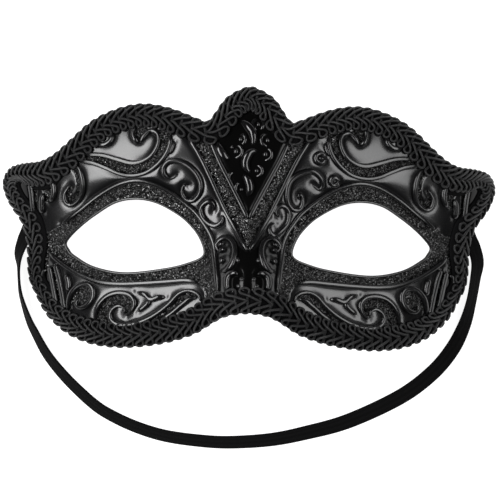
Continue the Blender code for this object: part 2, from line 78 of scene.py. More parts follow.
# Right half of the outer edge, from the crest round to the arch over the nose
OUTLINE = (
    (0, 0), (13, 4.5), (24.5, 12), (33.5, 24), (38, 31), (44, 35.5), (59, 30), (75, 24), (91, 20),
    (106, 18.5), (120, 20), (134, 24), (148, 30), (158, 36), (166, 42), (178.5, 54), (191.5, 66),
    (199.5, 72), (210, 77.5), (225, 79.5), (236, 82), (244, 87), (248.5, 99), (245, 114), (238.5, 126),
    (230, 138), (225.5, 150), (223, 164), (222.5, 182), (220, 198), (214.5, 210), (205, 228),
    (194.5, 240), (178.5, 252), (156, 260.5), (130, 263.5), (104, 262), (80.5, 258), (60.5, 252),
    (47.5, 246), (33, 236), (20, 230), (0, 227.5),
)

# Eye opening on the right, as shares of its width and height from its middle
EYE_SHAPE = (
    (-0.01, 0.50), (0.14, 0.45), (0.28, 0.29), (0.39, 0.13), (0.475, -0.03), (0.50, -0.12),
    (0.48, -0.20), (0.44, -0.28), (0.29, -0.43), (0.06, -0.50), (-0.24, -0.43), (-0.40, -0.345),
    (-0.48, -0.27), (-0.498, -0.18), (-0.47, -0.02), (-0.415, 0.13), (-0.32, 0.29), (-0.16, 0.45),
)

# Long rims, which are alike on both sides
RIM_LINES = {
    "eye_rim_upper": (
        (29.5, 206), (31, 190), (33, 172), (35, 158), (40, 145), (51, 129), (61, 120), (78, 107.5),
        (95, 99.5), (112, 96.5), (130, 100.5), (150, 112), (170, 127.5), (187, 140.5),
    ),
    "eye_rim_lower": (
        (50, 196.5), (62, 195), (80, 196.5), (105, 198.5), (130, 199.5), (150, 197.5), (168, 191),
        (184, 181.5), (200, 169),
    ),
    "brow_rim_lower": (
        (78.5, 50), (79.5, 61), (84, 71.5), (92, 81), (103, 88.5), (116, 91.5), (128, 90), (142, 84.5),
        (156, 79.5), (172, 77),
    ),
    "brow_rim_upper": (
        (109.5, 58), (104, 50.5), (98.5, 46.5), (92.5, 49), (90.5, 56), (93, 65), (99, 73), (108, 78),
        (118, 79), (132, 75.5), (148, 71.5), (168, 71),
    ),
    "crest_band_outer": (
        (65, 46), (61, 53), (50, 70), (41, 87), (31, 108), (20, 131), (9, 151), (0.6, 165),
    ),
    "crest_band_inner": ((42, 52), (37, 61), (30, 76), (21, 93), (10, 114), (0.6, 133)),
    "cheek_band_inner": ((193, 181), (190, 190), (187.5, 200), (185, 212), (182.5, 228)),
    "cheek_band_outer": ((199, 183), (197, 191), (195, 201), (193, 211), (190.5, 222)),
    "wing_rib": ((219, 101), (217, 113), (216, 125), (215, 140)),
}

# Scrolls, which are alike on both sides
SCROLL_LINES = {
    "brow_hook": ((114.5, 41), (116.5, 48), (115, 54.5), (110.5, 58)),
    "brow_pod": ((136, 49), (137.5, 55.5), (142, 60), (148, 61), (157, 58.5)),
    "temple_scroll": (
        (71, 90), (78, 94), (84, 90.5), (85.5, 83.5), (80.5, 77.5), (72, 76.5), (62, 80), (53, 88),
        (48, 98), (49, 108), (55.5, 115.5), (62.5, 114), (66.5, 107.5), (65, 101), (60.5, 101),
    ),
    "bridge_scroll": (
        (35, 126), (34.5, 120), (38.5, 116.5), (44, 118), (47.5, 123.5), (46, 131), (40.5, 137.5),
        (34, 140.5), (28, 138), (25.5, 133), (27.5, 129.5),
    ),
    "nose_oval": (
        (29, 166), (32, 160), (27, 153.5), (20, 152), (14.5, 157), (12.5, 166), (14.5, 176),
        (19.5, 183), (26, 186.5),
    ),
    "nose_ring": ((9.5, 188), (14, 187), (19, 190), (20.5, 197), (19, 204.5)),
    "wing_comma": (
        (178, 80), (171, 84), (167, 92), (165.5, 101), (166.5, 110), (171, 117.5), (178, 121.5),
        (183.5, 117.5), (184, 110), (179.5, 102),
    ),
    "wing_hook": ((197.5, 97), (194.5, 105), (195.5, 113), (199.5, 119)),
    "wing_leaf": ((206, 110), (207, 120), (206.5, 131)),
    "cheek_comma": (
        (121, 232), (114.5, 225), (112.5, 217), (118, 210.5), (128, 208.5), (138, 211), (146, 217.5),
        (151, 227), (152.5, 238),
    ),
    "cheek_tail": (
        (122, 229.5), (123.5, 223.5), (129, 221.5), (135, 225.5), (136.5, 233), (130, 239.5),
        (118, 240), (104, 236), (90, 228.5), (78, 219), (68, 209), (58, 205.5), (49.5, 208.5),
        (46.5, 216),
    ),
    "cheek_tail_lower": ((88, 236), (76, 228.5), (66, 220), (58, 214), (51.5, 212)),
    "cheek_sprig": ((82, 212), (89, 212.5), (96.5, 214.5), (103, 209.5), (110.5, 207.5)),
    "cheek_sprig_stem": ((96.5, 214.5), (101, 220.5), (109.5, 227)),
    "cheek_snail": (
        (180, 227), (179, 218), (175.5, 209), (168.5, 202), (160, 200.5), (154.5, 205.5), (154.5, 214),
        (160, 221.5), (167.5, 224), (171.5, 220), (169.5, 216),
    ),
    "cheek_short_line": ((182, 190), (179.5, 196), (178.5, 202), (179.5, 208)),
}

# Long filigree inside the crest, which differs from side to side: negative is left of the centre line
CREST_LINES = {
    "crest_plume": ((-9, 35), (-3, 40), (2, 46), (4, 53), (3, 60)),
    "crest_leaf_left": ((-32, 57), (-30, 64), (-25, 71), (-19, 74)),
    "crest_curl_middle": ((8, 65), (1, 67), (-3.5, 74), (-3.5, 81), (1, 88)),
    "crest_plume_low": ((-6, 89), (-0.5, 96), (1, 103), (-1.5, 111)),
}

# Strap on the surface, from where it comes out under the left temple round to the right one: x, y and the
# twist, which is the angle between the strap and the surface, in degrees, with the inner edge raised
STRAP_ROUTE = (
    (-0.0854, -0.0062, 36), (-0.0868, -0.0095, 40), (-0.0885, -0.0146, 56), (-0.0886, -0.0198, 82),
    (-0.0884, -0.0251, 86), (-0.0878, -0.0301, 82), (-0.0865, -0.0347, 77), (-0.0844, -0.0405, 69),
    (-0.0822, -0.0450, 63), (-0.0769, -0.0542, 56), (-0.0692, -0.0633, 51), (-0.0593, -0.0724, 48),
    (-0.0523, -0.0769, 46), (-0.0425, -0.0813, 44), (-0.0317, -0.0845, 42), (-0.0194, -0.0862, 40),
    (-0.0067, -0.0868, 38), (0.0094, -0.0856, 34), (0.0234, -0.0827, 28), (0.0398, -0.0779, 18),
    (0.0595, -0.0684, 8), (0.0718, -0.0590, 5), (0.0794, -0.0497, 16), (0.0839, -0.0404, 36),
    (0.0865, -0.0311, 52), (0.0880, -0.0219, 50), (0.0887, -0.0158, 38), (0.0872, -0.0100, 34),
    (0.0855, -0.0062, 36),
)

# Lines that are too fine for the solid, alike on both sides
FINE_LINES = {
    "nose_curl_high": ((24, 158), (27, 158.5), (30, 161)),
    "nose_curl_middle": ((22, 164), (26, 164), (29, 167)),
    "nose_curl_low": ((23, 174), (26, 174.5), (27.5, 178)),
    "brow_dash": ((75, 56), (76.5, 63), (80, 70)),
    "hook_curl": ((202, 186), (205, 189), (206, 194), (207, 199)),
}

# Scrolls that have their own shape on the right
RIGHT_SCROLL_LINES = {
    "bridge_scroll": (
        (30.7, 131.5), (26.4, 125.7), (29.3, 120.7), (35, 119.9), (39.3, 124.1), (40, 131.3),
        (37.8, 138.5), (32.1, 145.6), (27.1, 149.3), (22.1, 147.3), (20.7, 142.3), (22.8, 138),
        (26.4, 137.2),
    ),
    "temple_scroll": (
        (63.1, 98.1), (69.7, 103), (73.1, 98), (71.4, 91.3), (64.7, 85.8), (59.3, 85.3), (49.3, 88.3),
        (40.7, 95.5), (37.8, 107.1), (39.3, 117), (45, 123.4), (50.7, 122.6), (53.5, 116.8),
        (52.8, 109.6), (49.3, 109), (50, 114),
    ),
}

# Small curls of the crest, as parts of rings: across, down, radius, and the first and last angle in degrees
CREST_ARCS = {
    "crest_curl_left": (-13.3, 66.3, 6.0, -110, 90),
    "crest_curl_right": (16.4, 68.8, 5.8, -110, 85),
    "crest_bud_low": (7.8, 85.3, 5.2, -110, 100),
    "crest_ring_right": (8.2, 38.9, 5.4, 95, 265),
    "crest_ring_right_back": (8.2, 38.9, 5.4, -70, 60),
    "crest_leaf_right": (17.2, 54.5, 5.8, 80, 285),
    "crest_bud_left": (-8.8, 54.1, 4.6, -90, 100),
    "crest_hook_low": (-15.6, 92.1, 4.6, 80, 270),
    "crest_hook_last": (-8.2, 102.5, 5.0, 110, 235),
}

# Round studs: across, down, radius and side
STUDS = (
    (6, 193, 2.2, 1), (9, 200, 2.2, 1), (5.5, 203.5, 2.0, 1), (15, 205, 2.2, 1),
    (6, 193, 2.2, -1), (9, 200, 2.2, -1), (5.5, 203.5, 2.0, -1), (15, 205, 2.2, -1),
    (10.5, 174, 2.6, 1), (10.5, 174, 2.6, -1), (70.4, 71.8, 2.0, 1), (85, 94.6, 1.8, 1),
    (17.5, 62, 2.0, -1), (13.3, 66.3, 3.0, -1), (16, 68.8, 2.9, 1), (7.4, 85.3, 2.6, 1),
    (9, 54.1, 2.3, -1), (8.6, 38.9, 2.4, 1), (18, 54.8, 2.6, 1), (11.1, 98.5, 2.0, -1), (7.6, 104, 2.0, -1),
)

# Zones of the shell that are sunk and covered with glitter, on both sides; most lie between raised lines
GLITTER_ZONES = {
    "eye_band": (
        *RIM_LINES["eye_rim_upper"], (200, 149), (214, 149), (214, 163), (184, 182),
        *RIM_LINES["eye_rim_lower"][-3::-1], (43, 203), (40, 220), (31, 220),
    ),
    "brow_channel": (
        (78.5, 46), *RIM_LINES["brow_rim_lower"][1:], *RIM_LINES["brow_rim_upper"][:2:-1], (96, 44),
    ),
    "brow_drop": (*RIM_LINES["brow_rim_upper"][2::-1], *SCROLL_LINES["brow_hook"][2::-1], (106, 40)),
    "crest_band": (
        (66, 48), *RIM_LINES["crest_band_outer"][1:-1], (0, 164), (-1, 164), (-1, 134),
        *RIM_LINES["crest_band_inner"][::-1],
    ),
    "wing": ((197, 97), (209, 97), (206, 110), (206.5, 120), (200, 119), (195.5, 113), (194.5, 105)),
    "wing_comma_band": (
        *SCROLL_LINES["wing_comma"], (176, 103), (178.5, 111), (176, 114.5), (172.5, 110), (171, 101),
        (172.5, 93), (178, 86),
    ),
    "wing_strip": ((213, 98), *RIM_LINES["wing_rib"], (212, 140), (213, 118)),
    "cheek_crescent": (*SCROLL_LINES["cheek_comma"], (140, 240), *SCROLL_LINES["cheek_tail"][4:0:-1]),
    "tail_channel": (*SCROLL_LINES["cheek_tail"][7:13], *SCROLL_LINES["cheek_tail_lower"][::-1]),
    "snail": (*SCROLL_LINES["cheek_snail"][1:], (176, 222)),
    "cheek_band": (*RIM_LINES["cheek_band_inner"], *RIM_LINES["cheek_band_outer"][::-1]),
    "hook_patch": ((200, 173), (213, 168), (212, 190), (205, 189), (202, 186)),
}

# Deep black fields: in the crest band, down the nose between ovals and rings, and beside the braid in
# the corners of the wings and cheeks. In the corners the darker, barely glossy plastic is painted shade of
# the braid
DEEP_AND_SHADE_FIELDS = {
    "crest": ((-1, 20), (38, 40), *RIM_LINES["crest_band_inner"][1:], (-1, 133)),
    "nose": (
        (-1, 166), (6, 163), *SCROLL_LINES["nose_oval"][4:8], *SCROLL_LINES["nose_ring"][1:4], (19, 206),
        (19, 234), (-1, 234),
    ),
    "wing_shade_corner": ((213, 92), (240, 92), (240, 140), *RIM_LINES["wing_rib"][::-1]),
    "cheek_shade_corner": ((199, 186), *RIM_LINES["cheek_band_outer"][1:], (200, 232), (222, 205), (222, 186)),
}

# Rings with a stud in them, on the right alone: across, down and radius
ROSETTES = ((70.4, 71.8, 4.6), (85, 94.6, 3.8))


class Zone(Enum):
    """The vertex attributes that tell a material which part of the shell it is on."""

    GLITTER = "glitter"
    POLISH = "polish"
    INSIDE = "inside"


class Slot(Enum):
    """Material slots of the record."""

    SHELL = "shell_plastic"
    BRAID = "gimp_braid"
    STRAP = "strap_elastic"
    TAB = "tab_felt"


class Family(Enum):
    """The families of raised lines, each a piece of that name."""

    RIM = "rim_ridges"
    SCROLL = "scroll_ridges"
    CREST = "crest_filigree"
    ROSETTE = "rosettes"
    FINE = "fine_ridges"


@dataclass(frozen=True)
class RidgeShape:
    """What the ridges of one family look like.

    Attributes:
        squareness: power of the section's cosine and sine, under one for a flat top.
        taper_share: share of the length that the taper at each end takes.
        height_share: half the ridge's own height, as a share of its width.
    """

    squareness: float
    taper_share: float
    height_share: float


RIDGE_SHAPES = {
    Family.RIM: RidgeShape(0.60, 0.06, 0.50),
    Family.SCROLL: RidgeShape(0.85, 0.25, 0.52),
    Family.CREST: RidgeShape(0.90, 0.40, 0.42),
    Family.ROSETTE: RidgeShape(1.00, 0.01, 0.50),
    Family.FINE: RidgeShape(1.00, 0.35, 0.50),
}


def smooth_path(points: Array | Line, closed: bool = False, samples: int = 12) -> Array:
    """A Catmull-Rom curve: between two points, a cubic with half the step between neighbours as slopes.

    Args:
        points: the points that the curve goes through, one a row.
        closed: whether the last point joins the first.
        samples: places worked out in each gap.

    Returns:
        The curve as a dense row of points.
    """
    points = np.asarray(points, dtype=float)
    if closed:
        padded = np.vstack([points[-1:], points, points[:2]])
    else:
        padded = np.vstack([2 * points[0] - points[1], points, 2 * points[-1] - points[-2]])
    t = np.linspace(0, 1, samples, endpoint=False)[None, :, None]
    before, start, end, after = (padded[i:len(padded) - 3 + i, None, :] for i in range(4))
    curve = 0.5 * (
        2 * start
        + (end - before) * t
        + (2 * before - 5 * start + 4 * end - after) * t**2
        + (3 * start - before - 3 * end + after) * t**3
    )
    curve = curve.reshape(-1, points.shape[1])
    return curve if closed else np.vstack([curve, points[-1:]])


def even_path(path: Array, step: float, closed: bool = False) -> Array:
    """The same path with points about one step apart, by the arc length of its first three columns.

    Args:
        path: points, one a row; columns past the third are carried along.
        step: the wanted distance between points.
        closed: whether the last point joins the first.

    Returns:
        The evenly spaced points.
    """
    loop = np.vstack([path, path[:1]]) if closed else path
    along = np.concatenate([[0], np.cumsum(np.linalg.norm(np.diff(loop[:, :3], axis=0), axis=1))])
    count = max(2, round(along[-1] / step))
    places = np.linspace(0, along[-1], count if closed else count + 1, endpoint=not closed)
    return np.stack([np.interp(places, along, column) for column in loop.T], axis=1)


def is_inside(points: Array, loop: Array) -> Array:
    """Whether each flat point lies inside a closed loop, by counting the edges to its right.

    Args:
        points: flat places, one a row.
        loop: corners of the loop, in order.

    Returns:
        True or False for each point.
    """
    x, y = points[:, 0], points[:, 1]
    odd = np.zeros(len(points), dtype=bool)
    for (ax, ay), (bx, by) in zip(loop, np.roll(loop, -1, axis=0)):
        if ay != by:
            odd ^= ((ay > y) != (by > y)) & (x < ax + (y - ay) / (by - ay) * (bx - ax))
    return odd


def runs_inside(path: Array, fence: Array) -> list[Array]:
    """The stretches of a path that lie inside a loop.

    Args:
        path: flat points, in order.
        fence: corners of the loop.

    Returns:
        The stretches, in order.
    """
    runs = np.split(path, np.flatnonzero(np.diff(is_inside(path, fence).astype(int))) + 1)
    return [run for run in runs if is_inside(run[:1], fence)[0]]


def unit(vectors: Array) -> Array:
    """The same vectors, one a row, each made one long."""
    return vectors / np.maximum(np.linalg.norm(vectors, axis=-1, keepdims=True), TINY)


def squared_circle(sides: int, power: float) -> tuple[Array, Array]:
    """The cosine and sine of even angles, each keeping its sign, with its size raised to a power.

    Args:
        sides: angles in the whole turn.
        power: the power, under one for squarer corners.

    Returns:
        The cosines and the sines.
    """
    angle = np.linspace(0, 2 * np.pi, sides, endpoint=False)
    across, rise = (np.sign(wave) * np.abs(wave) ** power for wave in (np.cos(angle), np.sin(angle)))
    return across, rise


def above_surface(points: Array) -> Array:
    """The same points, raised to the surface that the mask lies on where they are below it."""
    points[..., 2] = np.maximum(points[..., 2], 0)
    return points


def read_places(items: bpy.types.bpy_prop_collection, key: str) -> Array:
    """A place of each of a mesh's vertices or faces, one a row.

    Args:
        items: the vertices or faces.
        key: name of the property that holds the place.

    Returns:
        The places.
    """
    flat = np.empty(len(items) * 3, dtype=np.float32)
    items.foreach_get(key, flat)
    return flat.reshape(-1, 3).astype(float)


def distance_to_path(points: Array, path: Array, reach: float) -> Array:
    """How far flat points lie from the nearest point of a path.

    Args:
        points: flat places, one a row.
        path: flat points of the path, close together.
        reach: places further away than this count as this far.

    Returns:
        The distances.
    """
    far = np.full(len(points), reach)
    low, high = path.min(axis=0) - reach, path.max(axis=0) + reach
    near = np.flatnonzero(((points > low) & (points < high)).all(axis=1))
    if len(near):
        gaps = points[near, None, :] - path[None, :, :]
        far[near] = np.minimum(np.sqrt((gaps**2).sum(axis=2).min(axis=1)), reach)
    return far


@dataclass(frozen=True)
class Drawing:
    """The drawing grid, in units that are shares of the mask's two sizes."""

    mask_width: float = 0.1908
    mask_height: float = 0.1012
    half_units: float = 248.5
    height_units: float = 263.5

    def place(self, points: Line, side: int = 1) -> Array:
        """Flat places of drawn points: the two grid units times their sizes, mirrored where side is -1.

        Args:
            points: (across, down) pairs.
            side: 1 for the right half and -1 for the left one.

        Returns:
            Flat x, y places, one a row.
        """
        grid = np.array(points, dtype=float)
        x = side * grid[:, 0] / self.half_units * self.mask_width / 2
        y = self.mask_height / 2 - grid[:, 1] / self.height_units * self.mask_height
        return np.stack([x, y], axis=1)

    def unit_length(self) -> float:
        """Length of one drawing unit."""
        return self.mask_width / 2 / self.half_units


@dataclass
class FaceForm:
    """The face that the flat drawing is bent onto."""

    wrap: float = 0.0270
    temple_roll: float = 0.0151
    temple_power: float = 10
    temple_half_width: float = 0.08945
    temple_flare: float = 0.0087
    temple_middle: float = -0.0075
    temple_blend: float = 0.024
    forehead_bend: float = 0.0012
    forehead_span: float = 0.020
    nose_rise: float = 0.014
    nose_half_width: float = 0.0120
    nose_power: float = 2.3
    nose_top: float = 0.0068
    nose_length: float = 0.0403
    brow_rise: float = 0.003
    brow_height: float = 0.026
    brow_breadth: float = 0.014
    eye_dish: float = 0.0035
    eye_dish_spread: float = 0.5
    eye_width: float = 0.054
    eye_height: float = 0.0289
    eye_across: float = 0.0437
    eye_up: float = -0.0077
    rest_height: float = 0.0
    settle_bin: float = 2e-5

    def height(self, x: Array, y: Array) -> Array:
        """Height of the outer skin over each flat place.

        The wrap falls with the square of the reach to the temple and the roll with its tenth power; the
        forehead bends back with the square of its distance; brow, eye dishes and nose are bells on top.

        Args:
            x: places across.
            y: places up the face.

        Returns:
            The heights, before the mask is set down on its rim.
        """
        half_width = self.temple_half_width + self.temple_flare * np.tanh(
            (y - self.temple_middle) / self.temple_blend
        )
        reach = np.abs(x) / half_width
        height = -self.wrap * reach**2 - self.temple_roll * reach**self.temple_power
        height -= self.forehead_bend * ((y - self.temple_middle) / self.forehead_span) ** 2
        brow = np.exp(-(((y - self.brow_height) / self.brow_breadth) ** 2))
        height += self.brow_rise * brow * np.clip(1 - reach**2, 0, 1)
        from_eye = np.hypot(
            (np.abs(x) - self.eye_across) / (self.eye_width / 2), (y - self.eye_up) / (self.eye_height / 2)
        )
        height -= self.eye_dish * np.exp(-((np.maximum(from_eye - 1, 0) / self.eye_dish_spread) ** 2))
        down_nose = np.clip((self.nose_top - y) / self.nose_length, 0, 1)
        rise = self.nose_rise * down_nose**2 * (3 - 2 * down_nose)
        return height + rise * np.exp(-((np.abs(x) / self.nose_half_width) ** self.nose_power))

    def slopes(self, x: Array, y: Array, reach: float = 1e-5) -> tuple[Array, Array]:
        """How fast the outer skin rises, by central differences: the rise over twice the reach.

        Args:
            x: places across.
            y: places up the face.
            reach: how far to each side the height is taken.

        Returns:
            The slopes along x and along y.
        """
        along_x = (self.height(x + reach, y) - self.height(x - reach, y)) / (2 * reach)
        along_y = (self.height(x, y + reach) - self.height(x, y - reach)) / (2 * reach)
        return along_x, along_y

    def normals(self, x: Array, y: Array) -> Array:
        """Unit vectors that point straight out of the skin: minus the two slopes, and one."""
        along_x, along_y = self.slopes(x, y)
        return unit(np.stack([-along_x, -along_y, np.ones_like(along_x)], axis=-1))

    def bend(self, points: Array) -> Array:
        """Flat points carried to their places on the mask: skin plus normal times z.

        Args:
            points: x, y and the distance above the outer skin, one a row.

        Returns:
            Points on the mask, none of them below the surface.
        """
        x, y, above = points.T
        skin = np.stack([x, y, self.height(x, y) + self.rest_height], axis=1)
        return above_surface(skin + self.normals(x, y) * above[:, None])

    def set_down(self, solid: bpy.types.Object) -> None:
        """Take the rest height from the CAD shell: the commonest rise of its points over the form.

        Args:
            solid: the shell's CAD node.
        """
        x, y, z = read_places(solid.data.vertices, "co").T
        rise = z - self.height(x, y)
        counts, edges = np.histogram(rise, bins=np.arange(rise.min(), rise.max(), self.settle_bin))
        low = edges[counts.argmax()]
        self.rest_height = float(np.median(rise[np.abs(rise - low) < 2 * self.settle_bin]))


@dataclass
class EdgeBand:
    """The strip along the edge that the braid covers, as a grid of places: share across by step along."""

    drawing: Drawing
    form: FaceForm
    width: float = 0.0102
    thickness: float = 0.0024
    step: float = 0.0037
    bulge_share: float = 0.6
    spread: int = 3
    samples: int = 8
    shares: int = 14
    outermost: float = -0.08
    innermost: float = 1.22
    grid: Array = field(init=False)

    def __post_init__(self) -> None:
        """Work the grid out once."""
        edge = self.edge()
        rows = [
            smooth_path(self.inset(edge, share * self.width), closed=True, samples=self.samples)
            for share in np.linspace(self.outermost, self.innermost, self.shares)
        ]
        self.grid = np.stack(rows)

    def edge(self) -> Array:
        """The clockwise line on the skin under the braid's outer edge.

        The outline is drawn as it shows from the front; the braid bulges past its line where the skin is
        steep, so the line lies that much further in: outline minus the normal's flat part times the bulge.
        """
        right = self.drawing.place(OUTLINE)
        left = self.drawing.place(OUTLINE[-2:0:-1], side=-1)
        seen = even_path(smooth_path(np.vstack([right, left]), closed=True), self.step, closed=True)
        return seen - self.form.normals(*seen.T)[:, :2] * (self.bulge_share * self.thickness)

    def inset(self, loop: Array, distance: float, steps: int = 8) -> Array:
        """A clockwise loop moved inwards by a distance that is measured over the face form.

        Args:
            loop: flat places, one a row.
            distance: how far to move, outwards where it is negative.
            steps: moves that it takes; each is cut by the root of one plus the slope squared.

        Returns:
            The moved loop, with its rows in the same order.
        """
        ahead = range(1, self.spread + 1)
        along = unit(sum(np.roll(loop, -k, axis=0) - np.roll(loop, k, axis=0) for k in ahead))
        normals = np.stack([along[:, 1], -along[:, 0]], axis=1)
        moved = loop.copy()
        for _ in range(steps):
            along_x, along_y = self.form.slopes(moved[:, 0], moved[:, 1])
            slope = along_x * normals[:, 0] + along_y * normals[:, 1]
            moved = moved + normals * (distance / steps / np.sqrt(1 + slope**2))[:, None]
        return moved

    def fence(self, distance: float) -> Array:
        """The closed line that lies this far in from the edge."""
        return smooth_path(self.inset(self.edge(), distance), closed=True, samples=self.samples)

    def length(self) -> float:
        """Length of the outer edge as drawn flat."""
        outer = self.grid[0]
        return float(np.linalg.norm(np.roll(outer, -1, axis=0) - outer, axis=1).sum())

    def place(self, turn: Array, share: Array, above: Array) -> Array:
        """Points on the mask for places in the band, blended between the four nearest grid places.

        Args:
            turn: how far round the edge, with 1 for the whole way round.
            share: how far across, from 0 at the outer edge to 1 at the inner one.
            above: distance above the skin.

        Returns:
            Points on the mask, one a row.
        """
        rows, columns, _ = self.grid.shape
        column = np.mod(turn, 1) * columns
        row = np.clip((share - self.outermost) / (self.innermost - self.outermost), 0, 1) * (rows - 1)
        first = np.floor(column).astype(int) % columns
        under = np.minimum(np.floor(row).astype(int), rows - 2)
        along = (column - np.floor(column))[:, None]
        across = (row - under)[:, None]
        after = (first + 1) % columns
        low = self.grid[under, first] * (1 - along) + self.grid[under, after] * along
        high = self.grid[under + 1, first] * (1 - along) + self.grid[under + 1, after] * along
        flat = low * (1 - across) + high * across
        return self.form.bend(np.column_stack([flat, above]))


def write_mesh(name: str, points: Array, quads: Array, cloth: Array | None = None) -> bpy.types.Object:
    """A smooth-shaded object at the origin from arrays of points and four-cornered faces.

    Args:
        name: name of the object and its mesh.
        points: places, one a row.
        quads: four indices into them for each face, seen anticlockwise from outside.
        cloth: two pattern coordinates for each corner of each face, or None.

    Returns:
        The object, linked to the scene.
    """
    mesh = bpy.data.meshes.new(name)
    mesh.vertices.add(len(points))
    mesh.vertices.foreach_set("co", np.ascontiguousarray(points, dtype=np.float32).ravel())
    mesh.loops.add(quads.size)
    mesh.loops.foreach_set("vertex_index", np.ascontiguousarray(quads, dtype=np.int32).ravel())
    mesh.polygons.add(len(quads))
    mesh.polygons.foreach_set("loop_start", np.arange(0, quads.size, 4, dtype=np.int32))
    mesh.update(calc_edges=True)
    if cloth is not None:
        layer = mesh.uv_layers.new(name="cloth")
        layer.data.foreach_set("uv", np.ascontiguousarray(cloth, dtype=np.float32).ravel())
    mesh.shade_smooth()
    made = bpy.data.objects.new(name, mesh)
    bpy.context.scene.collection.objects.link(made)
    return made


def weld(item: bpy.types.Object, within: float = 1e-7) -> None:
    """Join points that share a place, so that poles and seams are closed, and turn the faces outwards.

    Args:
        item: the object whose mesh it is.
        within: points closer than this are joined.
    """
    work = bmesh.new()
    work.from_mesh(item.data)
    bmesh.ops.remove_doubles(work, verts=work.verts, dist=within)
    bmesh.ops.recalc_face_normals(work, faces=work.faces)
    work.to_mesh(item.data)
    work.free()


@dataclass
class TubeBatch:
    """Tubes that end up in one mesh: their points, faces and pattern coordinates."""

    points: list[Array] = field(default_factory=list)
    quads: list[Array] = field(default_factory=list)
    cloth: list[Array] = field(default_factory=list)
    count: int = 0

    def add(self, rings: Array, closed: bool, pattern_step: float = 1.0, starts: int = 0) -> None:
        """Skin a row of rings: a quad between each pair of neighbours along and round.

        Args:
            rings: points as (station, side, 3), each ring anticlockwise seen against the way it runs.
            closed: whether the last ring joins the first.
            pattern_step: length along the tube that is one unit of the pattern.
            starts: whole units that the pattern gains once round the tube.
        """
        stations, sides, _ = rings.shape
        station = np.arange(stations if closed else stations - 1)
        side = np.arange(sides)
        here, after = station[:, None], (station[:, None] + 1) % stations
        beside = (side + 1) % sides
        corners = (here * sides + side, here * sides + beside, after * sides + beside, after * sides + side)
        self.quads.append(np.stack(corners, axis=-1).reshape(-1, 4) + self.count)
        middle = rings.mean(axis=1)
        steps = np.linalg.norm(np.diff(middle, axis=0, append=middle[:1]), axis=1)
        along = np.concatenate([[0], np.cumsum(steps)]) / pattern_step
        low, high = along[station][:, None] + 0 * side, along[station + 1][:, None] + 0 * side
        turn, turned = side / sides + 0 * here, (side + 1) / sides + 0 * here
        pattern = [(low, turn), (low, turned), (high, turned), (high, turn)]
        pairs = [np.stack([length + starts * share, share], axis=-1) for length, share in pattern]
        self.cloth.append(np.stack(pairs, axis=-2).reshape(-1, 2))
        self.points.append(rings.reshape(-1, 3))
        self.count += stations * sides

    def build(self, name: str) -> bpy.types.Object:
        """The tubes as one object of this name, with their seams and poles closed."""
        made = write_mesh(name, np.vstack(self.points), np.vstack(self.quads), np.vstack(self.cloth))
        weld(made)
        return made


def cord_rings(path: Array, outward: Array, half_width: float, half_height: float, sides: int) -> Array:
    """Oval rings round a closed path: path plus side times cosine and outward times sine of each angle.

    Args:
        path: middle points, one a row; the last one joins the first.
        outward: rough outward directions there.
        half_width: half the size across.
        half_height: half the size outwards.
        sides: points in each ring.

    Returns:
        Points as (station, side, 3).
    """
    heading = unit(np.roll(path, -1, axis=0) - np.roll(path, 1, axis=0))
    side = unit(np.cross(heading, outward))
    up = np.cross(side, heading)
    angle = np.linspace(0, 2 * np.pi, sides, endpoint=False)
    across = half_width * np.cos(angle)[None, :, None]
    rise = half_height * np.sin(angle)[None, :, None]
    return path[:, None, :] + side[:, None, :] * across + up[:, None, :] * rise


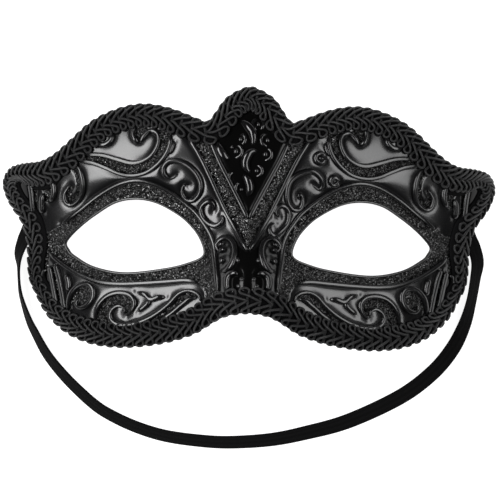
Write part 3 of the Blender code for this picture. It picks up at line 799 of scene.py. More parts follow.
class NodeBoard:
    """The node tree of one material, with short ways to add and join nodes."""

    def __init__(self, name: str) -> None:
        """Start a material that holds only its Principled shader and output."""
        self.material = bpy.data.materials.new(name)
        self.material.use_nodes = True
        self.tree = self.material.node_tree
        self.shader = self.tree.nodes["Principled BSDF"]

    def add(self, kind: str, **settings: object) -> bpy.types.Node:
        """Add a node.

        Args:
            kind: the node's kind, without the leading ShaderNode.
            settings: values for the node's own settings, or else for its sockets of those names.

        Returns:
            The node.
        """
        made = self.tree.nodes.new("ShaderNode" + kind)
        for key, value in settings.items():
            title = key.replace("_", " ").title()
            if hasattr(made, key):
                setattr(made, key, value)
            else:
                made.inputs[title].default_value = value
        return made

    def join(self, source: bpy.types.NodeSocket, target: bpy.types.NodeSocket) -> None:
        """Link an output socket to an input socket."""
        self.tree.links.new(source, target)

    def math(self, operation: str, first: object, second: object) -> bpy.types.NodeSocket:
        """Add a Math node.

        Args:
            operation: what it does.
            first: a socket or a number.
            second: a socket or a number.

        Returns:
            Its output.
        """
        made = self.tree.nodes.new("ShaderNodeMath")
        made.operation = operation
        for socket, value in zip(made.inputs, (first, second)):
            if isinstance(value, (int, float)):
                socket.default_value = value
            else:
                self.join(value, socket)
        return made.outputs[0]

    def blend(
        self, kind: str, share: bpy.types.NodeSocket, first: object, second: object
    ) -> bpy.types.NodeSocket:
        """Add a Mix node.

        Args:
            kind: FLOAT, VECTOR or RGBA.
            share: how much of the second there is.
            first: a socket or a constant.
            second: a socket or a constant.

        Returns:
            Its output.
        """
        made = self.tree.nodes.new("ShaderNodeMix")
        made.data_type = kind
        self.join(share, made.inputs[0])
        place = {"FLOAT": 2, "VECTOR": 4, "RGBA": 6}[kind]
        for socket, value in zip(made.inputs[place:place + 2], (first, second)):
            if isinstance(value, bpy.types.NodeSocket):
                self.join(value, socket)
            else:
                socket.default_value = value
        return made.outputs[{"FLOAT": 0, "VECTOR": 1, "RGBA": 2}[kind]]

    def zone(self, zone: Zone) -> bpy.types.NodeSocket:
        """How far a vertex attribute says the surface is in a zone."""
        made = self.add("Attribute")
        made.attribute_name = zone.value
        return made.outputs["Fac"]

    def object_place(self) -> bpy.types.NodeSocket:
        """Object coordinates."""
        return self.add("TexCoord").outputs["Object"]

    def set(self, **values: object) -> None:
        """Constants on the Principled shader's own sockets."""
        for key, value in values.items():
            self.shader.inputs[key.replace("_", " ").title().replace("Ior", "IOR")].default_value = value


@dataclass(frozen=True)
class GlossPlastic:
    """Black moulded plastic: satin panels, polished deep fields, and glitter in the sunk zones."""

    name: str = "moulded gloss plastic"
    colour: Colour = (0.0022, 0.0022, 0.0024, 1.0)
    worn_colour: Colour = (0.0040, 0.0040, 0.0043, 1.0)
    specular: float = 0.5
    inside_roughness: float = 0.50
    roughness_low: float = 0.18
    roughness_high: float = 0.27
    polish_roughness: float = 0.13
    cloud_scale: float = 70.0
    grain_scale: float = 900.0
    grain_strength: float = 0.06
    grain_depth: float = 0.00008
    flake_scale: float = 3100.0
    flake_tilt: float = 0.60
    flake_dark: Colour = (0.004, 0.004, 0.004, 1.0)
    flake_light: Colour = (0.26, 0.26, 0.26, 1.0)
    flake_share: float = 0.78
    flake_roughness: float = 0.30
    flake_metal: float = 0.70

    def build(self) -> bpy.types.Material:
        """Make the material: cloudy roughness, fine grain, and cells as flakes with their own tilt."""
        board = NodeBoard(self.name)
        board.set(specular_ior_level=self.specular)
        place = board.object_place()
        clouds = board.add("TexNoise", scale=self.cloud_scale, detail=3.0, roughness=0.55)
        board.join(place, clouds.inputs["Vector"])
        grain = board.add("TexNoise", scale=self.grain_scale, detail=2.0, roughness=0.5)
        board.join(place, grain.inputs["Vector"])
        bump = board.add("Bump", strength=self.grain_strength, distance=self.grain_depth)
        board.join(grain.outputs["Fac"], bump.inputs["Height"])
        flakes = board.add("TexVoronoi", scale=self.flake_scale)
        board.join(place, flakes.inputs["Vector"])
        shift = board.add("VectorMath", operation="SUBTRACT")
        board.join(flakes.outputs["Color"], shift.inputs[0])
        shift.inputs[1].default_value = (0.5, 0.5, 0.5)
        tilt = board.add("VectorMath", operation="SCALE")
        board.join(shift.outputs[0], tilt.inputs[0])
        tilt.inputs["Scale"].default_value = self.flake_tilt * 2
        lean = board.add("VectorMath", operation="ADD")
        board.join(tilt.outputs[0], lean.inputs[0])
        board.join(board.add("NewGeometry").outputs["Normal"], lean.inputs[1])
        straight = board.add("VectorMath", operation="NORMALIZE")
        board.join(lean.outputs[0], straight.inputs[0])
        parts = board.add("SeparateColor")
        board.join(flakes.outputs["Color"], parts.inputs[0])
        glow = board.add("MapRange", from_min=self.flake_share, from_max=1.0)
        board.join(parts.outputs[0], glow.inputs["Value"])
        flake_colour = board.blend("RGBA", glow.outputs[0], self.flake_dark, self.flake_light)
        plain = board.blend("RGBA", clouds.outputs["Fac"], self.colour, self.worn_colour)
        glitter = board.zone(Zone.GLITTER)
        satin = board.blend("FLOAT", clouds.outputs["Fac"], self.roughness_low, self.roughness_high)
        satin = board.blend("FLOAT", board.zone(Zone.POLISH), satin, self.polish_roughness)
        satin = board.blend("FLOAT", board.zone(Zone.INSIDE), satin, self.inside_roughness)
        colour = board.blend("RGBA", glitter, plain, flake_colour)
        board.join(colour, board.shader.inputs["Base Color"])
        roughness = board.blend("FLOAT", glitter, satin, self.flake_roughness)
        board.join(roughness, board.shader.inputs["Roughness"])
        board.join(board.math("MULTIPLY", glitter, self.flake_metal), board.shader.inputs["Metallic"])
        normal = board.blend("VECTOR", glitter, bump.outputs[0], straight.outputs[0])
        board.join(normal, board.shader.inputs["Normal"])
        return board.material


# Darker, barely glossy plastic of the deep fields: a finish in the crest and down the nose, and painted
# shade of the braid in the wing and cheek corners
DEEP_AND_SHADE_PLASTIC = GlossPlastic(
    "deep gloss and painted shade plastic", colour=(0.0010, 0.0010, 0.0010, 1.0), worn_colour=(0.0020, 0.0020, 0.0020, 1.0),
    specular=0.15,
)
POLISHED_PLASTIC = GlossPlastic("polished gloss plastic", roughness_low=0.15, roughness_high=0.19)


@dataclass(frozen=True)
class GimpCord:
    """Black spun cord: fine slanting threads, satin with a soft sheen."""

    name: str = "gimp cord"
    dark: Colour = (0.0035, 0.0035, 0.0038, 1.0)
    light: Colour = (0.0085, 0.0085, 0.0088, 1.0)
    roughness: float = 0.40
    sheen: float = 0.01
    sheen_roughness: float = 0.5
    specular: float = 0.34
    wave_unit: float = 0.314
    depth: float = 0.00011
    strength: float = 0.9
    fuzz_scale: float = 1500.0
    fuzz_height: float = 0.4

    def build(self) -> bpy.types.Material:
        """Make the material: a wave over the cord's own length and turn gives the threads."""
        board = NodeBoard(self.name)
        board.set(roughness=self.roughness, specular_ior_level=self.specular)
        board.set(sheen_weight=self.sheen, sheen_roughness=self.sheen_roughness)
        place = board.add("UVMap")
        place.uv_map = "cloth"
        threads = board.add("TexWave", scale=self.wave_unit)
        board.join(place.outputs[0], threads.inputs["Vector"])
        fuzz = board.add("TexNoise", scale=self.fuzz_scale, detail=2.0)
        board.join(board.object_place(), fuzz.inputs["Vector"])
        shade = board.math("MULTIPLY", threads.outputs["Fac"], fuzz.outputs["Fac"])
        board.join(board.blend("RGBA", shade, self.dark, self.light), board.shader.inputs["Base Color"])
        raised = board.math("MULTIPLY", fuzz.outputs["Fac"], self.fuzz_height)
        height = board.math("ADD", threads.outputs["Fac"], raised)
        bump = board.add("Bump", strength=self.strength, distance=self.depth)
        board.join(height, bump.inputs["Height"])
        board.join(bump.outputs[0], board.shader.inputs["Normal"])
        return board.material


# Near-black matt cloth of the braid's bed: partly backing cloth, partly painted shade in the gaps between
# the cords and on the temples
BED_CLOTH_AND_SHADE = GimpCord("braid bed cloth and painted shade", light=(0.002, 0.002, 0.002, 1.0), roughness=0.9, specular=0.03)


@dataclass(frozen=True)
class WovenElastic:
    """Flat black elastic: ribs along it crossed by fine picks."""

    dark: Colour = (0.0012, 0.0012, 0.0013, 1.0)
    light: Colour = (0.0036, 0.0036, 0.0038, 1.0)
    roughness: float = 0.80
    sheen: float = 0.01
    sheen_roughness: float = 0.6
    specular: float = 0.05
    wave_unit: float = 0.314
    depth: float = 0.00010
    strength: float = 0.8

    def build(self) -> bpy.types.Material:
        """Make the material: one wave across the ribs times one along the picks."""
        board = NodeBoard("woven elastic")
        board.set(roughness=self.roughness, specular_ior_level=self.specular)
        board.set(sheen_weight=self.sheen, sheen_roughness=self.sheen_roughness)
        place = board.add("UVMap")
        place.uv_map = "cloth"
        picks = board.add("TexWave", scale=self.wave_unit)
        board.join(place.outputs[0], picks.inputs["Vector"])
        ribs = board.add("TexWave", scale=self.wave_unit)
        ribs.bands_direction = "Y"
        board.join(place.outputs[0], ribs.inputs["Vector"])
        weave = board.math("MULTIPLY", picks.outputs["Fac"], ribs.outputs["Fac"])
        board.join(board.blend("RGBA", weave, self.dark, self.light), board.shader.inputs["Base Color"])
        bump = board.add("Bump", strength=self.strength, distance=self.depth)
        board.join(weave, bump.inputs["Height"])
        board.join(bump.outputs[0], board.shader.inputs["Normal"])
        return board.material


@dataclass(frozen=True)
class Felt:
    """Black felt: matted fibres at two sizes."""

    dark: Colour = (0.004, 0.004, 0.0043, 1.0)
    light: Colour = (0.020, 0.020, 0.021, 1.0)
    roughness: float = 0.95
    sheen: float = 0.4
    sheen_roughness: float = 0.7
    specular: float = 0.2
    fibre_scale: float = 2600.0
    clump_scale: float = 420.0
    depth: float = 0.0002
    strength: float = 0.9

    def build(self) -> bpy.types.Material:
        """Make the material: two noises, multiplied, shade it and raise it."""
        board = NodeBoard("matted felt")
        board.set(roughness=self.roughness, specular_ior_level=self.specular)
        board.set(sheen_weight=self.sheen, sheen_roughness=self.sheen_roughness)
        place = board.object_place()
        fibres = board.add("TexNoise", scale=self.fibre_scale, detail=3.0)
        clumps = board.add("TexNoise", scale=self.clump_scale, detail=2.0)
        for noise in (fibres, clumps):
            board.join(place, noise.inputs["Vector"])
        matted = board.math("MULTIPLY", fibres.outputs["Fac"], clumps.outputs["Fac"])
        board.join(board.blend("RGBA", matted, self.dark, self.light), board.shader.inputs["Base Color"])
        bump = board.add("Bump", strength=self.strength, distance=self.depth)
        board.join(matted, bump.inputs["Height"])
        board.join(bump.outputs[0], board.shader.inputs["Normal"])
        return board.material


@dataclass
class MaskShell:
    """The moulded shell: a fine slab cut out flat, given zones and grooves, then bent onto the form."""

    drawing: Drawing
    form: FaceForm
    band: EdgeBand
    wall: float = 0.0015
    cell: float = 0.00055
    edge_inset: float = 0.001
    section_samples: int = 2000
    cutter_depth_walls: int = 4
    zone_sink: float = 0.00035
    groove_depth: float = 0.00040
    groove_reach: float = 0.0014
    groove_reaches: int = 4
    sharp_angle: float = math.radians(50)
    lip_width: float = 0.0011
    lip_height: float = 0.0015
    lip_sides: int = 12
    eye_step: float = 0.0006

    def eye_loop(self, side: int) -> Array:
        """The edge of one eye opening: its drawn shares times its width and height, from its middle.

        Args:
            side: 1 for the right eye and -1 for the left one.

        Returns:
            Flat places, evenly spaced.
        """
        form = self.form
        shape = np.array(EYE_SHAPE) * (form.eye_width, form.eye_height) + (form.eye_across, form.eye_up)
        return even_path(smooth_path(shape * (side, 1), closed=True), self.eye_step, closed=True)

    def blank(self) -> bpy.types.Object:
        """A flat closed slab as wide as the mask: a top and a bottom grid, joined round the sides.

        The columns are as far apart over the bent nose as they are elsewhere, by the arc length of that
        section.
        """
        width, height = self.drawing.mask_width, self.drawing.mask_height
        section_x = np.linspace(-width / 2, width / 2, self.section_samples)
        section_y = np.full_like(section_x, self.form.nose_top - self.form.nose_length / 2)
        section = np.column_stack([section_x, self.form.height(section_x, section_y)])
        x = even_path(section, self.cell)[:, 0]
        y = np.linspace(-height / 2, height / 2, round(height / self.cell) + 1)
        columns, rows = len(x), len(y)
        flat = np.stack(np.meshgrid(x, y), axis=-1).reshape(-1, 2)
        points = np.vstack([np.column_stack([flat, np.full(len(flat), z)]) for z in (0.0, -self.wall)])
        index = np.arange(columns * rows).reshape(rows, columns)
        corners = [index[:-1, :-1], index[:-1, 1:], index[1:, 1:], index[1:, :-1]]
        top = np.stack(corners, axis=-1).reshape(-1, 4)
        bottom = top[:, ::-1] + columns * rows
        round_edge = np.concatenate([index[0, :-1], index[:-1, -1], index[-1, :0:-1], index[:0:-1, 0]])
        after = np.roll(round_edge, -1)
        under, under_after = round_edge + columns * rows, after + columns * rows
        sides = np.stack([round_edge, under, under_after, after], axis=-1)
        return write_mesh("mask_shell_skin", points, np.vstack([top, bottom, sides]))

    def cutter(self, name: str, loop: Array) -> bpy.types.Object:
        """A straight-walled solid over a flat loop, deeper than the slab on both sides.

        Args:
            name: name of the object and its mesh.
            loop: corners of the loop.

        Returns:
            The solid.
        """
        deep = self.cutter_depth_walls * self.wall
        points = np.vstack([np.column_stack([loop, np.full(len(loop), z)]) for z in (-deep, deep)])
        count = len(loop)
        faces = [[i, (i + 1) % count, (i + 1) % count + count, i + count] for i in range(count)]
        mesh = bpy.data.meshes.new(name)
        ends = [list(range(count))[::-1], list(range(count, 2 * count))]
        mesh.from_pydata(points.tolist(), [], [*faces, *ends])
        made = bpy.data.objects.new(name, mesh)
        bpy.context.scene.collection.objects.link(made)
        weld(made)
        return made

    def cut_out(self) -> bpy.types.Object:
        """The slab cut to the mask's outline and eyes."""
        slab = self.blank()
        edge = self.band.fence(self.edge_inset)
        jobs = [("INTERSECT", self.cutter("edge_cutter", edge))]
        jobs += [("DIFFERENCE", self.cutter("eye_cutter", self.eye_loop(side))) for side in BOTH_SIDES]
        for operation, cutter in jobs:
            change = slab.modifiers.new(operation.lower(), "BOOLEAN")
            change.operation = operation
            change.solver = "MANIFOLD"
            change.object = cutter
        bpy.context.view_layer.update()
        mesh = bpy.data.meshes.new_from_object(slab.evaluated_get(bpy.context.evaluated_depsgraph_get()))
        slab.modifiers.clear()
        slab.data = mesh
        for _, cutter in jobs:
            bpy.data.objects.remove(cutter, do_unlink=True)
        return slab

    def zone_share(self, flat: Array, zones: dict[str, Line]) -> Array:
        """Whether flat places lie inside any of the drawn zones, on either side.

        Args:
            flat: the places, one a row.
            zones: corners of each zone, in drawing units.

        Returns:
            1 for each place that does and 0 for each that doesn't.
        """
        inside = np.zeros(len(flat), dtype=bool)
        for points in zones.values():
            for side in BOTH_SIDES:
                inside |= is_inside(flat, self.drawing.place(points, side))
        return inside.astype(float)

    def build(
        self, lines: list[Array], finish: bpy.types.Material, deep_finish: bpy.types.Material
    ) -> bpy.types.Object:
        """Make the shell: sunk where a glitter zone is and along each raised line, then bent.

        The groove is its depth times the bell of the distance to the nearest line over its reach.

        Args:
            lines: flat paths of the raised lines that stand in a groove.
            finish: the plastic.
            deep_finish: the darker plastic of the deep black fields, which is painted shade in the wing and
                cheek corners.

        Returns:
            The shell.
        """
        shell = self.cut_out()
        mesh = shell.data
        points = read_places(mesh.vertices, "co")
        flat = points[:, :2]
        outer = points[:, 2] > -self.wall / 2
        glitter = self.zone_share(flat, GLITTER_ZONES)
        furthest = self.groove_reaches * self.groove_reach
        nearest = np.full(len(flat), furthest)
        for path in lines:
            nearest = np.minimum(nearest, distance_to_path(flat, path, furthest))
        rise = -self.groove_depth * np.exp(-((nearest / self.groove_reach) ** 2)) - self.zone_sink * glitter
        points[:, 2] += np.where(outer, rise, 0)
        shares = {
            Zone.GLITTER: glitter * outer,
            Zone.POLISH: self.zone_share(flat, DEEP_AND_SHADE_FIELDS) * outer,
            Zone.INSIDE: np.where(outer, 0.0, 1.0),
        }
        mesh.vertices.foreach_set("co", self.form.bend(points).astype(np.float32).ravel())
        centres = read_places(mesh.polygons, "center")
        # Faces in the deep fields take the darker plastic, which in the corners beside the braid is painted
        # shade
        deep = self.zone_share(centres[:, :2], DEEP_AND_SHADE_FIELDS) * (centres[:, 2] > -self.wall / 2)
        for zone, share in shares.items():
            layer = mesh.attributes.new(zone.value, "FLOAT", "POINT")
            layer.data.foreach_set("value", share.astype(np.float32))
        mesh.shade_smooth()
        mesh.set_sharp_from_angle(angle=self.sharp_angle)
        mesh.update()
        finish_piece(shell, finish)
        mesh.materials.append(deep_finish)
        mesh.polygons.foreach_set("material_index", deep.astype(np.int32))
        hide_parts("mask_shell")
        return shell

    def build_lips(self, finish: bpy.types.Material) -> bpy.types.Object:
        """The rolled edge of each eye opening: an oval ring carried round the opening, at half the wall.

        Args:
            finish: the plastic.

        Returns:
            Both edges, as one piece.
        """
        batch = TubeBatch()
        for side in BOTH_SIDES:
            loop = self.eye_loop(side)[::side]
            middle = self.form.bend(np.column_stack([loop, np.full(len(loop), -self.wall / 2)]))
            outward = self.form.normals(*loop.T)
            rings = cord_rings(middle, outward, self.lip_width / 2, self.lip_height / 2, self.lip_sides)
            batch.add(rings, closed=True)
        return finish_piece(batch.build("eye_lips"), finish)


def finish_piece(item: bpy.types.Object, finish: bpy.types.Material) -> bpy.types.Object:
    """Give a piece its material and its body.

    Args:
        item: the piece.
        finish: its material.

    Returns:
        The piece.
    """
    item.data.materials.clear()
    item.data.materials.append(finish)
    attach(item, "root")
    LOG.info("%s: %d faces", item.name, len(item.data.polygons))
    return item


@dataclass
class ReliefWork:
    """The raised lines: ridges with a rounded top that taper to their ends, and small round studs."""

    drawing: Drawing
    form: FaceForm
    band: EdgeBand
    step: float = 0.00055
    sides: int = 16
    rim_width: float = 0.0016
    scroll_width: float = 0.0020
    crest_width: float = 0.0032
    fine_width: float = 0.0015
    arc_points: int = 24
    lift_share: float = 0.14
    end_share: float = 0.30
    closing_share: float = 1e-4
    fence_gap: float = 0.0018
    shortest: float = 0.0012
    stud_rings: int = 8
    stud_sides: int = 14
    stud_first_turn: float = 1e-3
    stud_last_turn: float = 0.62 * math.pi
    stud_height_share: float = 0.8

    def arc(self, across: float, down: float, radius: float, first: float, last: float) -> Line:
        """Drawn points of a part of a ring: middle plus radius times the cosine and sine of each angle.

        Args:
            across: the middle's place across.
            down: its place down.
            radius: radius in drawing units.
            first: angle that it starts at, in degrees anticlockwise from the right.
            last: angle that it ends at.

        Returns:
            The points, in drawing units.
        """
        angles = np.radians(np.linspace(first, last, self.arc_points))
        return tuple(zip(across + radius * np.cos(angles), down - radius * np.sin(angles)))

    def rows(self) -> Iterator[tuple[Family, Line, tuple[int, ...], float]]:
        """Each drawn line with its family, the sides that it is on, and its width."""
        for points in RIM_LINES.values():
            yield Family.RIM, points, BOTH_SIDES, self.rim_width
        for name, points in SCROLL_LINES.items():
            sides = MIRRORED if name in RIGHT_SCROLL_LINES else BOTH_SIDES
            yield Family.SCROLL, points, sides, self.scroll_width
        for points in RIGHT_SCROLL_LINES.values():
            yield Family.SCROLL, points, AS_DRAWN, self.scroll_width
        for points in CREST_LINES.values():
            yield Family.CREST, points, AS_DRAWN, self.crest_width
        for arc in CREST_ARCS.values():
            yield Family.CREST, self.arc(*arc), AS_DRAWN, self.fine_width
        for arc in ROSETTES:
            yield Family.ROSETTE, self.arc(*arc, 0, 360), AS_DRAWN, self.scroll_width
        for points in FINE_LINES.values():
            yield Family.FINE, points, BOTH_SIDES, self.fine_width

    def paths(self) -> list[tuple[Family, Array, float]]:
        """Every ridge as a family, an even flat path kept inside the braid, and a width.

        A stretch counts only where its own length is over the shortest, so that a closed ring counts too.
        """
        fence = self.band.fence(self.band.width - self.fence_gap)
        made = []
        for family, points, sides, width in self.rows():
            for side in sides:
                for run in runs_inside(smooth_path(self.drawing.place(points, side)), fence):
                    if np.linalg.norm(np.diff(run, axis=0), axis=1).sum() > self.shortest:
                        made.append((family, even_path(run, self.step), width))
        return made

    def ridge(self, path: Array, width: float, shape: RidgeShape) -> Array:
        """Rings of one ridge, drawn flat and then bent.

        Each ring is an oval about the path, with its cosine and sine raised to a power under one where its
        top is flat. It is squeezed by a factor that rises from the end share to 1 over the taper and
        falls to nearly nothing at the two end rings.

        Args:
            path: even flat path.
            width: width at the middle of the ridge.
            shape: its section and tapers.

        Returns:
            Points as (station, side, 3).
        """
        along = np.linspace(0, 1, len(path))
        from_end = np.minimum(along, 1 - along) / shape.taper_share
        size = self.end_share + (1 - self.end_share) * np.sin(np.pi / 2 * np.clip(from_end, 0, 1))
        size[[0, -1]] = self.closing_share
        heading = unit(np.gradient(path, axis=0))
        side = np.column_stack([heading[:, 1], -heading[:, 0]])
        across, rise = squared_circle(self.sides, shape.squareness)
        across = (width / 2 * size)[:, None] * across
        above = (width * size)[:, None] * (self.lift_share + shape.height_share * rise)
        flat = path[:, None, :] + side[:, None, :] * across[:, :, None]
        rings = np.concatenate([flat, above[:, :, None]], axis=2)
        return self.form.bend(rings.reshape(-1, 3)).reshape(rings.shape)

    def build(self, finish: bpy.types.Material, polished: bpy.types.Material) -> list[bpy.types.Object]:
        """Make the ridges, one piece for each family.

        Args:
            finish: the plastic.
            polished: the plastic of the crest's filigree.

        Returns:
            The pieces.
        """
        batches: dict[Family, TubeBatch] = {}
        for family, path, width in self.paths():
            rings = self.ridge(path, width, RIDGE_SHAPES[family])
            batches.setdefault(family, TubeBatch()).add(rings, closed=False)
        finishes = dict.fromkeys(batches, finish) | {Family.CREST: polished}
        return [
            finish_piece(batch.build(family.value), finishes[family])
            for family, batch in batches.items()
        ]

    def build_studs(self, finish: bpy.types.Material) -> bpy.types.Object:
        """Make the studs: rings about a point, radius times sine and height times cosine of the turn.

        Args:
            finish: the polished plastic.

        Returns:
            All of them, as one piece.
        """
        batch = TubeBatch()
        turn = np.linspace(self.stud_first_turn, self.stud_last_turn, self.stud_rings)
        angle = np.linspace(0, 2 * np.pi, self.stud_sides, endpoint=False)
        scale = self.drawing.unit_length()
        for across, down, radius, side in STUDS:
            middle = self.drawing.place(((across, down),), side)[0]
            size = radius * scale
            ring = np.stack([np.cos(angle), np.sin(angle)], axis=1)
            flat = middle + ring[None] * (size * np.sin(turn))[:, None, None]
            height = size * self.stud_height_share * np.cos(turn)
            above = np.broadcast_to(height[:, None], flat.shape[:2])
            rings = np.concatenate([flat, above[:, :, None]], axis=2)
            batch.add(self.form.bend(rings.reshape(-1, 3)).reshape(rings.shape)[::-1], closed=False)
        return finish_piece(batch.build("round_studs"), finish)


@dataclass
class GimpBraid:
    """The gimp braid: a dark bed along the edge, and two rows of looped cord that meet in a herringbone.
    The bed's near-black cloth is partly backing and partly painted shade in the gaps between the cords.

    A pattern's rows are steps along, share across and height above the skin; the bed's, share and height.
    """

    band: EdgeBand
    units: int = 140
    leaf_pattern: Line = (
        (0.00, 0.50, 0.0014), (0.45, 0.41, 0.0020), (0.92, 0.30, 0.0022), (1.35, 0.21, 0.0020),
        (1.62, 0.14, 0.0016), (1.62, 0.075, 0.0012), (1.36, 0.050, 0.0010), (1.08, 0.075, 0.0009),
        (0.90, 0.15, 0.0009), (0.92, 0.27, 0.0009), (0.99, 0.40, 0.0010),
    )
    ring_pattern: Line = (
        (0.00, 0.47, 0.0014), (0.45, 0.39, 0.0020), (0.95, 0.29, 0.0021), (1.38, 0.20, 0.0019),
        (1.54, 0.11, 0.0015), (1.42, 0.045, 0.0012), (1.20, 0.025, 0.0010), (0.98, 0.045, 0.0009),
        (0.87, 0.12, 0.0009), (0.92, 0.24, 0.0009), (0.99, 0.36, 0.0010),
    )
    loop_pattern: Line = (
        (0.00, 0.49, 0.0015), (0.45, 0.56, 0.0020), (0.95, 0.66, 0.0020), (1.38, 0.735, 0.0018),
        (1.55, 0.83, 0.0014), (1.43, 0.915, 0.0012), (1.21, 0.94, 0.0010), (0.98, 0.915, 0.0009),
        (0.87, 0.83, 0.0009), (0.92, 0.71, 0.0009), (0.99, 0.59, 0.0010),
    )
    cord_half_width: float = 0.00050
    cord_half_height: float = 0.00050
    ring_below: float = -0.020
    leaf_above: float = 0.004
    pattern_samples: int = 4
    cord_sides: int = 8
    cord_threads: int = 2
    bed_threads: int = 6
    thread_step: float = 0.00050
    middle_share: float = 0.5
    probe: float = 0.001
    bed_profile: Line = (
        (0.30, 0.0003), (0.035, 0.0003), (0.020, 0.0005), (0.16, 0.0006), (0.36, 0.0010), (0.50, 0.0011),
        (0.64, 0.0009), (0.84, 0.0004), (0.90, 0.0002), (0.58, 0.0002),
    )
    bed_step_turns: int = 900
    # Inward spread of the dark bed on the temples, laid there as painted shade of the braid on the skin
    temple_shade_spread: float = 0.26
    temple_start: float = 0.072
    temple_blend: float = 0.006
    gather: float = 1.1
    gather_share: float = 0.3
    gather_across: float = 0.0855
    gather_up: float = 0.0190
    gather_reach: float = 0.0095

    def turns(self) -> Array:
        """How far round the edge each unit starts, with one more at the end: units are closer on the wings.

        The closeness is one plus the gather times the bell of the distance from the wing's upper edge.
        """
        fine = np.linspace(0, 1, self.bed_step_turns + 1)
        x, y, _ = self.band.place(fine, np.full_like(fine, self.gather_share), np.zeros_like(fine)).T
        away = np.hypot(np.abs(x) - self.gather_across, y - self.gather_up) / self.gather_reach
        closeness = 1 + self.gather * np.exp(-(away**2))
        total = np.concatenate([[0], np.cumsum((closeness[1:] + closeness[:-1]) / 2)])
        return np.interp(np.linspace(0, total[-1], self.units + 1), total, fine)

    def strand(self, upper: Line, lower: Line) -> Array:
        """Rings of one endless cord: a pattern of (step, share, height) that moves one step on each unit.

        Each unit is the upper pattern on the brows and the lower one on the cheeks, with a straight blend
        between by the unit's height on the face.

        Args:
            upper: one unit above, in steps along, share across and height above the skin.
            lower: one unit below, with as many rows.

        Returns:
            Points as (station, side, 3).
        """
        units, turns = np.arange(self.units), self.turns()
        middle = np.full(self.units, self.middle_share)
        level = self.band.place(turns[:-1], middle, np.zeros(self.units))[:, 1]
        weight = np.clip((self.leaf_above - level) / (self.leaf_above - self.ring_below), 0, 1)
        weight = weight[:, None, None]
        rows = np.array(upper)[None] * (1 - weight) + np.array(lower)[None] * weight
        rows = rows + units[:, None, None] * np.array([1.0, 0.0, 0.0])
        rows = rows.reshape(-1, 3)
        whole = np.array([self.units, 0.0, 0.0])
        padded = np.vstack([rows[-1:] - whole, rows, rows[:2] + whole])
        dense = smooth_path(padded, samples=self.pattern_samples)
        dense = dense[self.pattern_samples:self.pattern_samples * (len(rows) + 1)]
        steps, share, above = dense.T
        laps, within = np.divmod(steps, self.units)
        turn = laps + np.interp(within, np.arange(self.units + 1), turns)
        path = self.band.place(turn, share, above)
        outward = unit(self.band.place(turn, share, above + self.probe) - path)
        half_width, half_height = self.cord_half_width, self.cord_half_height
        return above_surface(cord_rings(path, outward, half_width, half_height, self.cord_sides))

    def build_bed(self, finish: bpy.types.Material) -> bpy.types.Object:
        """Make the bed: its profile carried once round the band, and wider on the temples, where it is
        painted shade of the braid.

        Args:
            finish: the bed's dark cloth, partly painted shade.

        Returns:
            The bed.
        """
        turn = np.linspace(0, 1, self.bed_step_turns, endpoint=False)
        middle = self.band.place(turn, np.full_like(turn, self.middle_share), np.zeros_like(turn))
        from_temple = (np.abs(middle[:, 0]) - self.temple_start) / self.temple_blend
        spread = 1 + self.temple_shade_spread * np.clip(from_temple, 0, 1)
        share, above = np.array(self.bed_profile).T
        inner = np.where(share > self.middle_share, spread[:, None] * share, share)
        turns, heights = (np.broadcast_to(part, inner.shape).ravel() for part in (turn[:, None], above))
        rings = self.band.place(turns, inner.ravel(), heights).reshape(*inner.shape, 3)
        batch = TubeBatch()
        batch.add(rings[:, ::-1], closed=True, pattern_step=self.thread_step, starts=self.bed_threads)
        return finish_piece(batch.build("braid_bed"), finish)

    def build(self, finish: bpy.types.Material, bed_finish: bpy.types.Material) -> list[bpy.types.Object]:
        """Make the bed and both rows of cord, which stand for the CAD braid.

        Args:
            finish: the cord.
            bed_finish: the bed's dark cloth, partly painted shade.

        Returns:
            The bed, the outer row and the inner row.
        """
        made = [self.build_bed(bed_finish)]
        jobs = (
            ("braid_outer_loops", self.leaf_pattern, self.ring_pattern),
            ("braid_inner_loops", self.loop_pattern, self.loop_pattern),
        )
        for name, upper, lower in jobs:
            batch = TubeBatch()
            rings = self.strand(upper, lower)
            batch.add(rings, closed=True, pattern_step=self.thread_step, starts=self.cord_threads)
            made.append(finish_piece(batch.build(name), finish))
        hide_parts("braid_trim")
        return made


